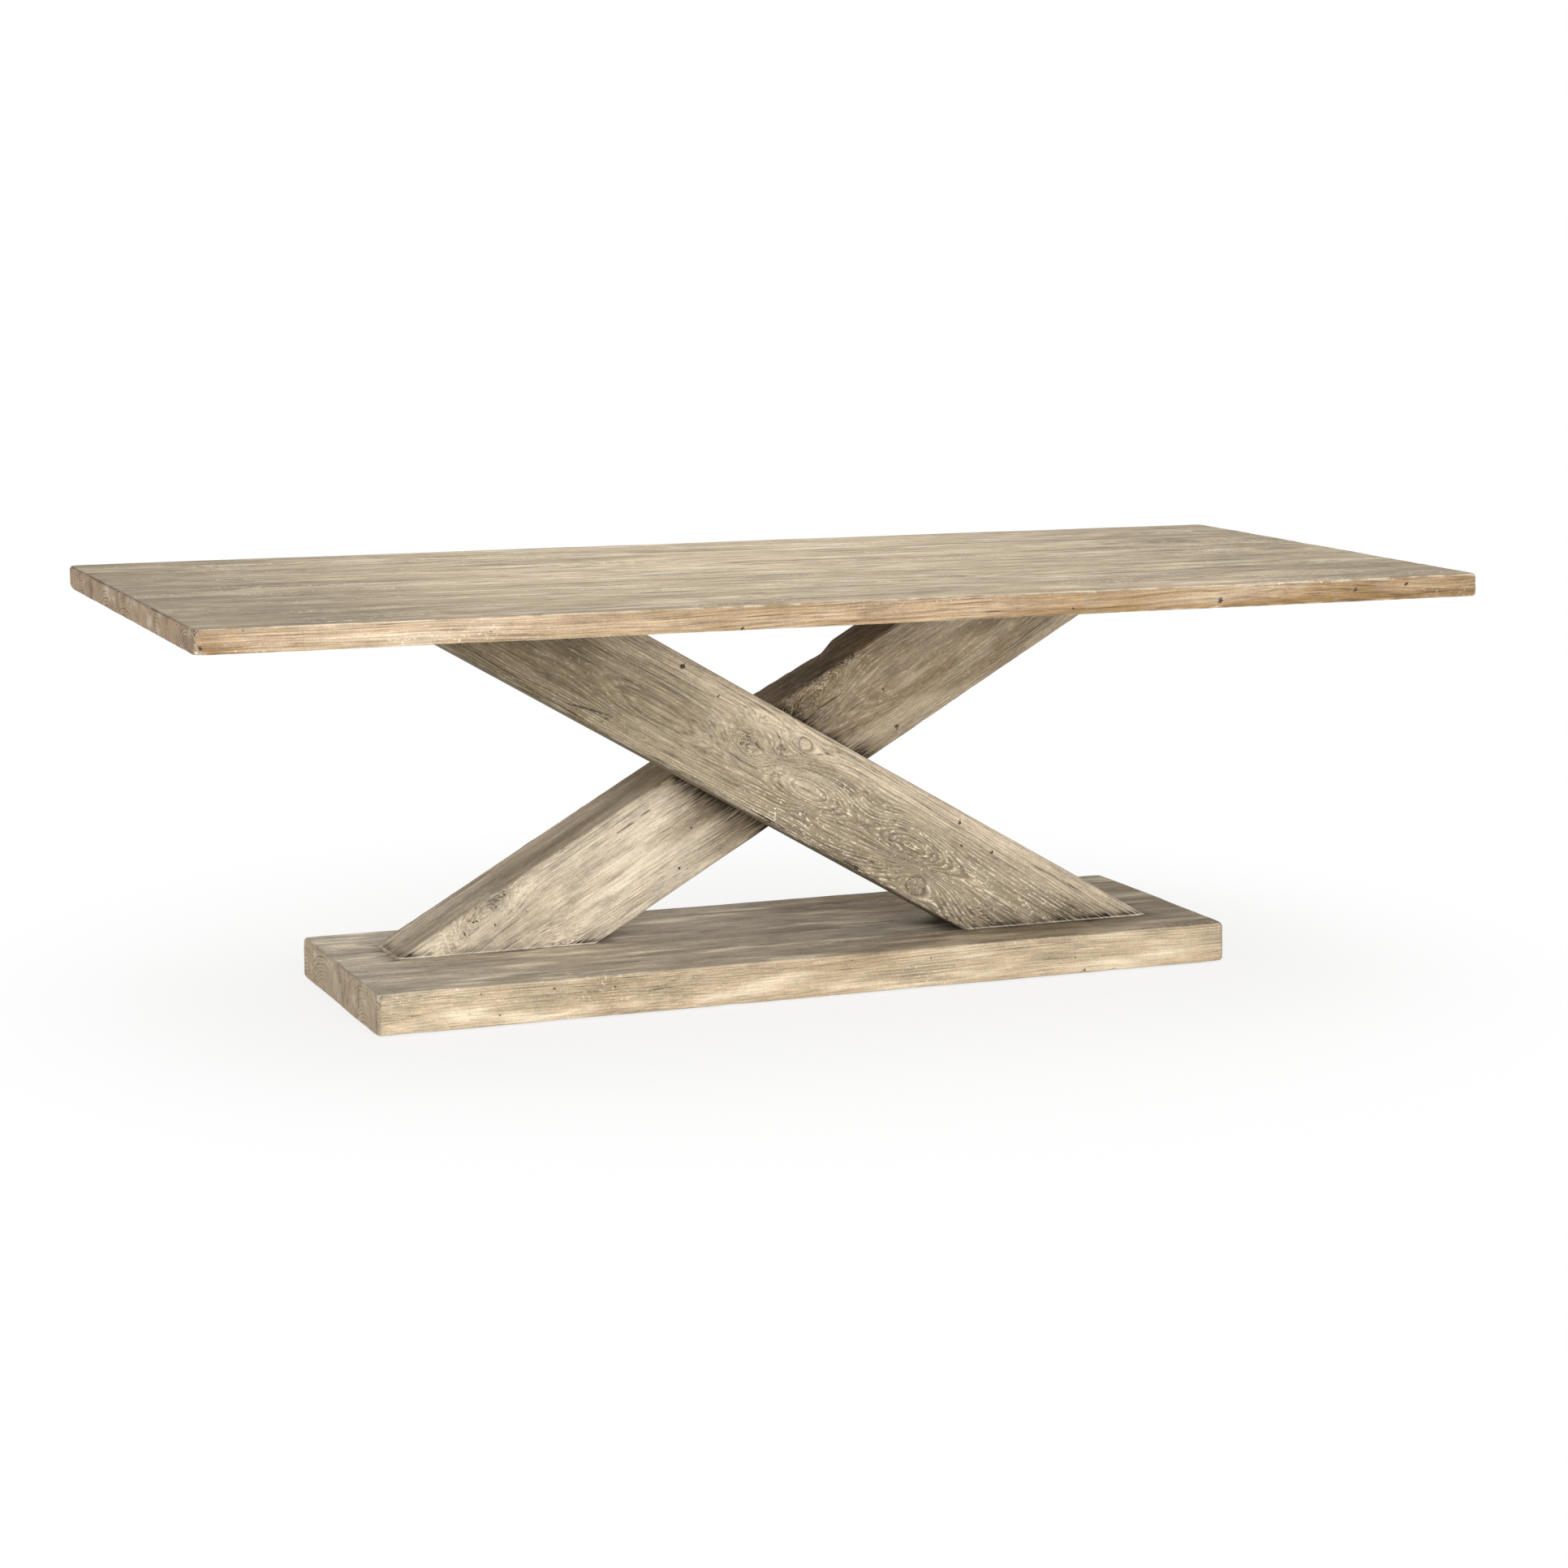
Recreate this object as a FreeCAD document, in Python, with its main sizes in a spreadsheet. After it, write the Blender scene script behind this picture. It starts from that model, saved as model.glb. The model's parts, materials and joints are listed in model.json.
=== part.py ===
import FreeCAD, Part
import os
import re

import Sketcher

# A long dining table of reclaimed softwood. Five edge-jointed boards make the top. Two heavy
# baulks cross under it like a sawbuck, face to face, and stand on a low plinth of three boards.
# +X runs along the table, +Z is up and the front faces -Y. The origin is on the floor under
# the middle of the top. Lengths are millimetres and angles are degrees.

SIZES = {
    # the whole table
    "overall_height": 762,
    # top
    "top_length": 2400,
    "top_width": 1050,
    "top_thickness": 43,
    "top_front_width": 205,
    "top_second_width": 220,
    "top_middle_width": 200,
    "top_fourth_width": 215,
    "top_corner_radius": 9,
    "top_arris_radius": 5,
    "top_lower_chamfer": 3,
    # plinth
    "plinth_length": 1672,
    "plinth_width": 514,
    "plinth_thickness": 75,
    "plinth_front_width": 220,
    "plinth_middle_width": 219,
    "plinth_corner_radius": 11,
    "plinth_arris_radius": 5,
    "plinth_lower_chamfer": 3,
    # crossed baulks
    "baulk_width": 195,
    "baulk_depth": 140,
    "baulk_slope": 30,
    "crossing_height": 387,
    "outer_arris_radius": 7,
    "inner_arris_radius": 3,
    # loose tongues in the glued edges
    "top_tongue_thickness": 12,
    "plinth_tongue_thickness": 20,
    "tongue_width": 40,
    "tongue_stop": 70,
    "glue_gap": 0.5,
    # dovetailed cross battens, which hold the top to the heads of the baulks
    "batten_width": 90,
    "batten_thickness": 28,
    "batten_end_thickness": 8,
    "batten_front_reach": 450,
    "batten_back_reach": 515,
    "batten_flat_reach": 300,
    "batten_heel_inset": 98,
    "dovetail_neck": 70,
    "dovetail_depth": 14,
    "dovetail_angle": 15,
    "peg_side": 10,
    "peg_length": 56,
    "peg_offset": 45,
    # countersunk screws through the battens into the heads
    "batten_screw_spread": 70,
    "batten_screw_diameter": 8,
    "batten_screw_head": 15.4,
    "batten_screw_length": 130,
    "batten_hole_diameter": 8.4,
    "batten_countersink": 16,
    # coach screws, washers and the counterbores that hide them
    "coach_diameter": 14,
    "coach_flats": 22,
    "coach_head_height": 9,
    "coach_washer_diameter": 34,
    "coach_washer_thickness": 2.5,
    "counterbore_diameter": 38,
    "counterbore_depth": 22,
    "foot_screw_length": 150,
    "foot_screw_inset": 40,
    "foot_screw_pitch": 150,
    "crossing_screw_length": 200,
    "crossing_screw_pitch": 190,
    # loose tenons that locate the feet and a key between the baulks
    "tenon_length": 90,
    "tenon_width": 45,
    "tenon_height": 50,
    "key_side": 70,
    "key_length": 90,
    # felt pads under the plinth
    "pad_side": 45,
    "pad_thickness": 3,
    "pad_end_inset": 60,
    "pad_side_inset": 45,
}

# how far a cutting outline runs past the wood, and the least that a cut may take off
OVERCUT = "1"
LEAST_CUT = 1.0
# two lengths this close are the same
NEARLY = 0.01

UNDERSIDE = "(overall_height - top_thickness)"
PLINTH_TOP = "(pad_thickness + plinth_thickness)"
# levels measured from the crossing of the baulks' centre lines
HEAD_LEVEL = f"({UNDERSIDE} - crossing_height)"
FOOT_LEVEL = f"({PLINTH_TOP} - crossing_height)"
SLOPE_RUN = "(1 / tan(baulk_slope * 1 deg))"
HALF_CUT = "(baulk_width / 2 / sin(baulk_slope * 1 deg))"

# distance from the middle of the table to the heel of a foot and to the heel of a head
FOOT_HEEL = f"(-({FOOT_LEVEL}) * {SLOPE_RUN} - {HALF_CUT})"
HEAD_HEEL = f"(({HEAD_LEVEL}) * {SLOPE_RUN} - {HALF_CUT})"
BATTEN_PLACE = f"({HEAD_HEEL} + batten_heel_inset)"
TENON_PLACE = f"({FOOT_HEEL} + foot_screw_inset + foot_screw_pitch / 2)"

# a front baulk leans to the left as it rises, a rear baulk to the right
FRONT = -1
REAR = 1

DOC = FreeCAD.newDocument("sawbuck_table")
SHEET = DOC.addObject("Spreadsheet::Sheet", "Sizes")


def fill_sheet():
    """Writes each driving dimension to the sheet with its name as alias."""
    for row, (name, number) in enumerate(SIZES.items(), 1):
        SHEET.set(f"A{row}", name)
        SHEET.set(f"B{row}", str(number))
        SHEET.setAlias(f"B{row}", name)
    DOC.recompute()


def bound(formula):
    """Points each name in a formula at its cell in the sheet."""
    names = "|".join(sorted(SIZES, key=len, reverse=True))
    return re.sub(rf"\b({names})\b", r"Sizes.\1", formula)


def value(formula):
    """Number that a formula of sheet names gives now."""
    result = SHEET.evalExpression(bound(formula))
    return float(getattr(result, "Value", result))


def bind(thing, property_name, formula):
    """Binds a property to a formula of sheet names."""
    thing.setExpression(property_name, bound(formula))


def place(thing, x="0", y="0", z="0"):
    """Binds the position of an object."""
    for axis, formula in zip("xyz", (x, y, z)):
        bind(thing, f"Placement.Base.{axis}", formula)


def new_body(label, x="0", y="0", z="0"):
    """Makes an empty body at a place."""
    body = DOC.addObject("PartDesign::Body", label)
    place(body, x, y, z)
    return body


def new_sketch(body, plane_role, name, offset="0"):
    """Makes a sketch on one of the body's own origin planes, moved along the plane's normal."""
    sketch = body.newObject("Sketcher::SketchObject", f"{body.Label}_{name}")
    plane = next(item for item in body.Origin.OriginFeatures if item.Role == plane_role)
    sketch.AttachmentSupport = [(plane, "")]
    sketch.MapMode = "FlatFace"
    bind(sketch, "AttachmentOffset.Base.z", offset)
    return sketch


def dimension(sketch, kind, where, formula):
    """Adds a driving constraint whose size is a formula."""
    index = sketch.addConstraint(Sketcher.Constraint(kind, *where, value(formula)))
    name = f"{kind}{index}"
    sketch.renameConstraint(index, name)
    bind(sketch, f"Constraints.{name}", formula)


def locate(sketch, geometry, point, x, y):
    """Holds a point of a curve at a distance from the sketch's origin."""
    dimension(sketch, "DistanceX", (-1, 1, geometry, point), x)
    dimension(sketch, "DistanceY", (-1, 1, geometry, point), y)


def polygon(sketch, corners):
    """Draws a closed outline through corners that are given as pairs of formulas."""
    first = sketch.GeometryCount
    points = [FreeCAD.Vector(value(x), value(y), 0) for x, y in corners]
    count = len(points)
    for index in range(count):
        line = Part.LineSegment(points[index], points[(index + 1) % count])
        sketch.addGeometry(line, False)
    for index, (x, y) in enumerate(corners):
        following = first + (index + 1) % count
        sketch.addConstraint(Sketcher.Constraint("Coincident", first + index, 2, following, 1))
        locate(sketch, first + index, 1, x, y)


def rectangle(sketch, x_low, x_high, y_low, y_high):
    """Draws a rectangle between four limits."""
    polygon(sketch, [(x_low, y_low), (x_high, y_low), (x_high, y_high), (x_low, y_high)])


def circle(sketch, x, y, diameter):
    """Draws a circle."""
    centre = FreeCAD.Vector(value(x), value(y), 0)
    up = FreeCAD.Vector(0, 0, 1)
    index = sketch.addGeometry(Part.Circle(centre, up, value(diameter) / 2), False)
    locate(sketch, index, 3, x, y)
    dimension(sketch, "Radius", (index,), f"({diameter}) / 2")


def pad(body, sketch, height, reverse=False, midplane=False):
    """Raises a sketch into a solid."""
    feature = body.newObject("PartDesign::Pad", f"{sketch.Name}_pad")
    feature.Profile = sketch
    feature.Reversed = reverse
    feature.Midplane = midplane
    bind(feature, "Length", height)
    DOC.recompute()


def cut(body, sketch, depth, reverse=False, midplane=False):
    """Cuts a sketch out of the body and checks that wood or metal came away."""
    before = body.Shape.Volume
    feature = body.newObject("PartDesign::Pocket", f"{sketch.Name}_cut")
    feature.Profile = sketch
    feature.Reversed = reverse
    feature.Midplane = midplane
    bind(feature, "Length", depth)
    DOC.recompute()
    if body.Shape.Volume > before - LEAST_CUT:
        raise RuntimeError(f"{feature.Name} removed nothing")


def turn(body, sketch):
    """Revolves a sketch about its second axis."""
    feature = body.newObject("PartDesign::Revolution", f"{sketch.Name}_turned")
    feature.Profile = sketch
    feature.ReferenceAxis = (sketch, ["V_Axis"])
    feature.Angle = 360
    DOC.recompute()


def dress(body, kind, name, property_name, size, chosen):
    """Fillets or chamfers the edges of a body that a test on their bounding box picks out."""
    base = body.Tip
    edges = [f"Edge{n}" for n, edge in enumerate(base.Shape.Edges, 1) if chosen(edge.BoundBox)]
    feature = body.newObject(f"PartDesign::{kind}", f"{body.Label}_{name}")
    feature.Base = (base, edges)
    bind(feature, property_name, size)
    DOC.recompute()


def ease(body, name, radius, chosen):
    """Rounds the chosen edges of a body."""
    dress(body, "Fillet", name, "Radius", radius, chosen)


def bevel(body, name, size, chosen):
    """Chamfers the chosen edges of a body."""
    dress(body, "Chamfer", name, "Size", size, chosen)


def flat_at(low, high, level):
    """Tells whether an interval lies at one level."""
    return abs(low - level) < NEARLY and abs(high - level) < NEARLY


def block(label, length, width, height, x, y, z):
    """Plain rectangular piece centred on a place."""
    piece = DOC.addObject("Part::Box", label)
    bind(piece, "Length", length)
    bind(piece, "Width", width)
    bind(piece, "Height", height)
    place(piece, *(limits(f"({m})", size)[0] for m, size in ((x, length), (y, width), (z, height))))
    return piece


# ---------------------------------------------------------------- boards of the top and plinth

def plank(label, family, width, front, bottom, outside):
    """Board of the top or plinth. Its own origin is at the middle of its lower front edge.

    The long edge named by outside is free and rounded, and the others are glued.
    """
    body = new_body(label, y=front, z=bottom)
    outline = new_sketch(body, "XY_Plane", "outline")
    rectangle(outline, f"-{family}_length / 2", f"{family}_length / 2", "0", width)
    pad(body, outline, f"{family}_thickness")

    half_length = value(f"{family}_length / 2")
    thickness = value(f"{family}_thickness")
    free_edge = {"front": 0.0, "back": value(width)}.get(outside)
    glued = [y for y in (0.0, value(width)) if y != free_edge]

    def upright_corner(box):
        at_end = flat_at(abs(box.XMin), abs(box.XMax), half_length)
        upright = box.ZLength > thickness / 2
        return at_end and upright and flat_at(box.YMin, box.YMax, free_edge)

    def free_at(box, level):
        on_seam = any(flat_at(box.YMin, box.YMax, y) for y in glued)
        return flat_at(box.ZMin, box.ZMax, level) and not on_seam

    if free_edge is not None:
        ease(body, "corners", f"{family}_corner_radius", upright_corner)
    ease(body, "upper_arrises", f"{family}_arris_radius", lambda box: free_at(box, thickness))
    bevel(body, "lower_arrises", f"{family}_lower_chamfer", lambda box: free_at(box, 0.0))
    return body


def groove(body, family, edge, low, high):
    """Stopped groove for a loose tongue, open on one of a board's glued edges."""
    level = f"({family}_thickness - {family}_tongue_thickness) / 2"
    reach = f"({family}_length / 2 - tongue_stop)"
    outline = new_sketch(body, "XY_Plane", f"{edge}_groove", level)
    rectangle(outline, f"-{reach}", reach, low, high)
    cut(body, outline, f"{family}_tongue_thickness", reverse=True)


def tongue(label, family, seam, bottom):
    """Loose tongue centred on a glued seam."""
    length = f"({family}_length - 2 * (tongue_stop + glue_gap))"
    middle = f"{bottom} + {family}_thickness / 2"
    return block(label, length, "tongue_width", f"{family}_tongue_thickness", "0", seam, middle)


def drill_up(body, name, front, spots, diameter, depth):
    """Holes drilled up into a board at places given in the table's frame."""
    centres = new_sketch(body, "XY_Plane", name)
    for x, y in spots:
        circle(centres, x, f"({y}) - ({front})", diameter)
    cut(body, centres, depth, reverse=True)


def slab(family, names, widths, bottom):
    """Boards laid side by side from front to back, with a loose tongue in each seam."""
    groove_depth = "tongue_width / 2 + glue_gap"
    front = f"-{family}_width / 2"
    boards = {}
    tongues = []
    last = len(names) - 1
    for index, (name, width) in enumerate(zip(names, widths)):
        outside = "front" if index == 0 else "back" if index == last else None
        body = plank(f"{family}_{name}_board", family, width, front, bottom, outside)
        if index > 0:
            groove(body, family, "front", "0", groove_depth)
            tongues.append(tongue(f"{family}_tongue_{index}", family, front, bottom))
        if index < last:
            groove(body, family, "back", f"{width} - ({groove_depth})", width)
        boards[name] = (body, front)
        front = f"{front} + {width}"
    return boards, tongues


def table_top():
    """The top's boards, with a dovetailed trench across them for each batten.

    Each trench is open at the back edge, where the batten slides in, and stops short of the front.
    """
    names = ["front", "second", "middle", "fourth", "back"]
    widths = [f"top_{name}_width" for name in names[:-1]]
    widths.append("(top_width - " + " - ".join(widths) + ")")
    boards, tongues = slab("top", names, widths, UNDERSIDE)
    for name, (body, front) in boards.items():
        start = f"-batten_front_reach - glue_gap - ({front})" if name == "front" else "0"
        trench = new_sketch(body, "XZ_Plane", "trenches", f"-({start})")
        for side in (-1, 1):
            polygon(trench, dovetail(f"{side} * {BATTEN_PLACE}", "dovetail_depth + glue_gap"))
        cut(body, trench, "top_width")

    body, front = boards["middle"]
    holes = new_sketch(body, "XY_Plane", "peg_holes")
    for x, y in peg_spots():
        square(holes, x, f"({y}) - ({front})", "peg_side")
    cut(body, holes, "peg_length - batten_thickness + glue_gap", reverse=True)
    return [body for body, front in boards.values()] + tongues


def dovetail(centre, rise):
    """Corners of the dovetail that rises from the top's underside."""
    low = "dovetail_neck / 2"
    high = f"{low} + ({rise}) * tan(dovetail_angle * 1 deg)"
    reaches = [(f"-({low})", "0"), (low, "0"), (high, rise), (f"-({high})", rise)]
    return [(f"{centre} + {x}", z) for x, z in reaches]


def plinth():
    """The plinth's boards, counterbored from below for the foot screws and mortised above."""
    names = ["front", "middle", "back"]
    widths = ["plinth_front_width", "plinth_middle_width"]
    widths.append("(plinth_width - plinth_front_width - plinth_middle_width)")
    boards, tongues = slab("plinth", names, widths, "pad_thickness")
    for name, side in (("front", FRONT), ("middle", REAR)):
        body, front = boards[name]
        screws = foot_screw_spots(side)
        drill_up(body, "screw_holes", front, screws, "coach_diameter", "plinth_thickness")
        drill_up(body, "counterbores", front, screws, "counterbore_diameter", "counterbore_depth")
        mortise = new_sketch(body, "XY_Plane", "mortise", "plinth_thickness")
        x, y = tenon_spot(side)
        tenon_outline(mortise, x, f"({y}) - ({front})")
        cut(body, mortise, "tenon_height / 2 + glue_gap")
    return [body for body, front in boards.values()] + tongues


# ---------------------------------------------------------------- places of the fixings

def peg_spots():
    """Places of the pegs that lock the middle board on the battens, beside the baulks' heads."""
    return [(f"{side} * {BATTEN_PLACE}", f"-({side}) * peg_offset") for side in (FRONT, REAR)]


def batten_screw_spots(side):
    """Places of the screws that hold a batten down on the head of its baulk."""
    rows = [f"{side} * baulk_depth / 2 + {across} * batten_screw_spread / 2" for across in (-1, 1)]
    return [(f"{side} * {BATTEN_PLACE}", y) for y in rows]


def foot_screw_spots(side):
    """Places of the coach screws under one foot."""
    y = f"{side} * baulk_depth / 2"
    steps = ["foot_screw_inset", "foot_screw_inset + foot_screw_pitch"]
    return [(f"{-side} * ({FOOT_HEEL} + {step})", y) for step in steps]


def tenon_spot(side):
    """Place of the loose tenon under one foot, midway between its screws."""
    return f"{-side} * {TENON_PLACE}", f"{side} * baulk_depth / 2"


def crossing_screw_spots():
    """Places of the crossing screws on the face where the baulks meet, from the crossing."""
    return [("-crossing_screw_pitch / 2", "0"), ("crossing_screw_pitch / 2", "0")]


def tenon_outline(sketch, x, y):
    """Mouth of a mortise for a loose tenon."""
    rectangle(sketch, *limits(x, "tenon_length + 2 * glue_gap"), *limits(y, "tenon_width"))


def square(sketch, x, y, side):
    """Draws a square about its middle."""
    rectangle(sketch, *limits(x, side), *limits(y, side))


def limits(middle, length):
    """Ends of a length about its middle."""
    return f"{middle} - ({length}) / 2", f"{middle} + ({length}) / 2"


# ---------------------------------------------------------------- crossed baulks

def baulk_edge(level, face, side):
    """Distance from the crossing to a baulk's lower (-1) or upper (1) face at a level."""
    return f"({side} * ({level}) * {SLOPE_RUN} - {face * side} * {HALF_CUT})"


def baulk(label, side):
    """One sloping baulk with level cuts at foot and head. Its origin is at the crossing."""
    body = new_body(label, z="crossing_height")
    outline = new_sketch(body, "XZ_Plane", "outline")
    corners = [(FOOT_LEVEL, -1), (FOOT_LEVEL, 1), (HEAD_LEVEL, 1), (HEAD_LEVEL, -1)]
    polygon(outline, [(baulk_edge(level, face, side), level) for level, face in corners])
    pad(body, outline, "baulk_depth", reverse=side == REAR)

    depth = value("baulk_depth")

    def long_edge(box):
        return box.XLength > depth and box.ZLength > depth

    def outer_edge(box):
        return long_edge(box) and flat_at(box.YMin, box.YMax, side * depth)

    def inner_edge(box):
        return long_edge(box) and flat_at(box.YMin, box.YMax, 0.0)

    ease(body, "outer_arrises", "outer_arris_radius", outer_edge)
    ease(body, "inner_arrises", "inner_arris_radius", inner_edge)
    house_head(body, side)
    drill_foot(body, side)
    return body


def house_head(body, side):
    """Notches the head over its batten and drills it for the batten's screws."""
    housing = new_sketch(body, "XZ_Plane", "housing")
    walls = [f"{side} * {BATTEN_PLACE} + {end} * batten_width / 2" for end in (-1, 1)]
    rectangle(housing, *walls, f"{HEAD_LEVEL} - batten_thickness", HEAD_LEVEL)
    cut(body, housing, "3 * baulk_depth", midplane=True)

    pilots = new_sketch(body, "XY_Plane", "head_pilots", f"{HEAD_LEVEL} - batten_thickness")
    for x, y in batten_screw_spots(side):
        circle(pilots, x, y, "batten_screw_diameter")
    cut(body, pilots, "batten_screw_length - batten_thickness - dovetail_depth + glue_gap")


def drill_foot(body, side):
    """Drills a foot from below for its coach screws and mortises it for its tenon."""
    pilots = new_sketch(body, "XY_Plane", "foot_pilots", FOOT_LEVEL)
    for x, y in foot_screw_spots(side):
        circle(pilots, x, y, "coach_diameter")
    rise = "foot_screw_length - plinth_thickness + counterbore_depth"
    cut(body, pilots, rise, reverse=True)

    mortise = new_sketch(body, "XY_Plane", "foot_mortise", FOOT_LEVEL)
    tenon_outline(mortise, *tenon_spot(side))
    cut(body, mortise, "tenon_height / 2 + glue_gap", reverse=True)


def drill_crossing(body, side):
    """Drills the face where the baulks meet for the crossing screws and mortises it for the key."""
    reach = {
        FRONT: "crossing_screw_length - baulk_depth + counterbore_depth",
        REAR: "baulk_depth",
    }[side]
    holes = new_sketch(body, "XZ_Plane", "crossing_holes")
    for x, z in crossing_screw_spots():
        circle(holes, x, z, "coach_diameter")
    cut(body, holes, reach, reverse=side == FRONT)

    mortise = new_sketch(body, "XZ_Plane", "key_mortise")
    square(mortise, "0", "0", "key_side")
    cut(body, mortise, "key_length / 2 + glue_gap", reverse=side == FRONT)


def front_baulk():
    """Front baulk: the crossing screws end blind in it."""
    body = baulk("front_baulk", FRONT)
    drill_crossing(body, FRONT)
    return body


def rear_baulk():
    """Rear baulk: the crossing screws pass through it from counterbores in its back."""
    body = baulk("rear_baulk", REAR)
    drill_crossing(body, REAR)
    counterbores = new_sketch(body, "XZ_Plane", "crossing_counterbores", "-baulk_depth")
    for x, z in crossing_screw_spots():
        circle(counterbores, x, z, "counterbore_diameter")
    cut(body, counterbores, "counterbore_depth", reverse=True)
    wane(body)
    return body


def wane(body):
    """Missing corner along the rear baulk's upper back arris, where the log ran out of square.

    Each section gives its distance along the table from the crossing, how far it reaches down
    the back and how far it reaches forward over the upper face.
    """
    stations = [
        ("-60", "1.5", "4"),
        ("40", "4", "18"),
        ("130", "8", "36"),
        ("205", "13", "54"),
        ("236", "1.5", "4"),
    ]
    outlines = []
    for index, (x, down, forward) in enumerate(stations):
        outline = new_sketch(body, "YZ_Plane", f"wane_{index}", x)
        crest = f"(({x}) / {SLOPE_RUN} + baulk_width / 2 / cos(baulk_slope * 1 deg))"
        tip = (f"baulk_depth - {forward}", f"{crest} + {OVERCUT}")
        bottom = (f"baulk_depth + {OVERCUT}", f"{crest} - {down}")
        polygon(outline, [tip, bottom, (f"baulk_depth + {OVERCUT}", f"{crest} + {OVERCUT}")])
        outlines.append(outline)
    DOC.recompute()
    feature = body.newObject("PartDesign::SubtractiveLoft", "rear_baulk_wane")
    feature.Profile = outlines[0]
    feature.Sections = outlines[1:]
    feature.Ruled = True
    DOC.recompute()


# ---------------------------------------------------------------- battens

def batten(label, side):
    """Cross batten with a dovetail that slides into the top and tapered ends below it."""
    body = new_body(label, x=f"{side} * {BATTEN_PLACE}", z=UNDERSIDE)
    section = new_sketch(body, "XZ_Plane", "section", "batten_front_reach")
    left_low, right_low, right_high, left_high = dovetail("0", "dovetail_depth")
    left, right = limits("0", "batten_width")
    levels = [(left, "0"), (left, "-batten_thickness"), (right, "-batten_thickness"), (right, "0")]
    polygon(section, [left_low] + levels + [right_low, right_high, left_high])
    pad(body, section, "batten_front_reach + batten_back_reach", reverse=True)

    tapers = new_sketch(body, "YZ_Plane", "tapers")
    for end, reach in ((-1, "batten_front_reach"), (1, "batten_back_reach")):
        start = (f"{end} * batten_flat_reach", "-batten_thickness")
        corner = (f"{end} * ({reach} + {OVERCUT})", "-batten_thickness")
        thin_end = (f"{end} * ({reach} + {OVERCUT})", "-batten_end_thickness")
        polygon(tapers, [start, corner, thin_end])
    cut(body, tapers, "2 * batten_width", midplane=True)

    peg_hole = new_sketch(body, "XY_Plane", "peg_hole", "dovetail_depth")
    square(peg_hole, "0", f"-({side}) * peg_offset", "peg_side")
    cut(body, peg_hole, "batten_thickness + dovetail_depth")
    countersink(body, side)
    return body


def countersink(body, side):
    """Countersunk holes for the two screws that hold a batten on its head."""
    centres = new_sketch(body, "XY_Plane", "screw_centres", "dovetail_depth")
    for x, y in batten_screw_spots(side):
        circle(centres, "0", y, "batten_hole_diameter")
    DOC.recompute()
    feature = body.newObject("PartDesign::Hole", f"{body.Label}_screw_holes")
    feature.Profile = centres
    DOC.recompute()
    feature.DepthType = "ThroughAll"
    feature.HoleCutType = "Countersink"
    feature.HoleCutCustomValues = True
    feature.HoleCutCountersinkAngle = 90
    bind(feature, "Diameter", "batten_hole_diameter")
    bind(feature, "HoleCutDiameter", "batten_countersink")
    DOC.recompute()


# ---------------------------------------------------------------- fixings

def turned_piece(label, profile):
    """Solid of revolution about its own upright axis, from pairs of radius and height."""
    body = new_body(label)
    outline = new_sketch(body, "XZ_Plane", "profile")
    polygon(outline, profile)
    turn(body, outline)
    return body


def countersunk_screw(label):
    """Countersunk screw, point up, with the flat of its head at its origin."""
    radius = "batten_screw_diameter / 2"
    profile = [
        ("0", "0"),
        ("batten_screw_head / 2", "0"),
        (radius, "(batten_screw_head - batten_screw_diameter) / 2"),
        (radius, "batten_screw_length"),
        ("0", "batten_screw_length"),
    ]
    return turned_piece(label, profile)


def coach_screw(label, span):
    """Hexagon-headed coach screw, point up, with the underside of its head at its origin."""
    body = new_body(label)
    shank = new_sketch(body, "XY_Plane", "shank")
    circle(shank, "0", "0", "coach_diameter")
    pad(body, shank, span)
    head = new_sketch(body, "XY_Plane", "head")
    corner = "(coach_flats / sqrt(3))"
    turns = [f"{60 * step} deg" for step in range(6)]
    polygon(head, [(f"{corner} * cos({turn})", f"{corner} * sin({turn})") for turn in turns])
    pad(body, head, "coach_head_height", reverse=True)
    return body


def washer(label, outside, hole, thickness):
    """Flat washer that lies on its own origin."""
    body = new_body(label)
    ring = new_sketch(body, "XY_Plane", "ring")
    circle(ring, "0", "0", outside)
    circle(ring, "0", "0", hole)
    pad(body, ring, thickness)
    return body


def group(label, master, spots):
    """Copies of one piece as one node. Each spot is a place and the angle the copy tips about X."""
    links = []
    for number, (x, y, z, pitch) in enumerate(spots, 1):
        link = DOC.addObject("App::Link", f"{label}_{number}")
        link.LinkedObject = master
        tip = FreeCAD.Rotation(FreeCAD.Vector(1, 0, 0), pitch)
        link.Placement = FreeCAD.Placement(FreeCAD.Vector(0, 0, 0), tip)
        place(link, x, y, z)
        links.append(link)
    compound = DOC.addObject("Part::Compound", label)
    compound.Links = links
    return compound


def at_level(spots, z, pitch=0):
    """Adds a height and an angle to pairs of places."""
    return [(x, y, z, pitch) for x, y in spots]


def top_fixings():
    """Screws that hold the battens to the baulks and pegs that lock the top on the battens."""
    screw = countersunk_screw("batten_screw")
    spots = batten_screw_spots(FRONT) + batten_screw_spots(REAR)
    head_level = f"{UNDERSIDE} + dovetail_depth"
    peg = block("batten_peg", "peg_side", "peg_side", "peg_length", "0", "0", "0")
    peg_corners = [(limits(x, "peg_side")[0], limits(y, "peg_side")[0]) for x, y in peg_spots()]
    return [
        group("batten_screws", screw, at_level(spots, head_level, pitch=180)),
        group("batten_pegs", peg, at_level(peg_corners, f"{UNDERSIDE} - batten_thickness")),
    ]


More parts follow.
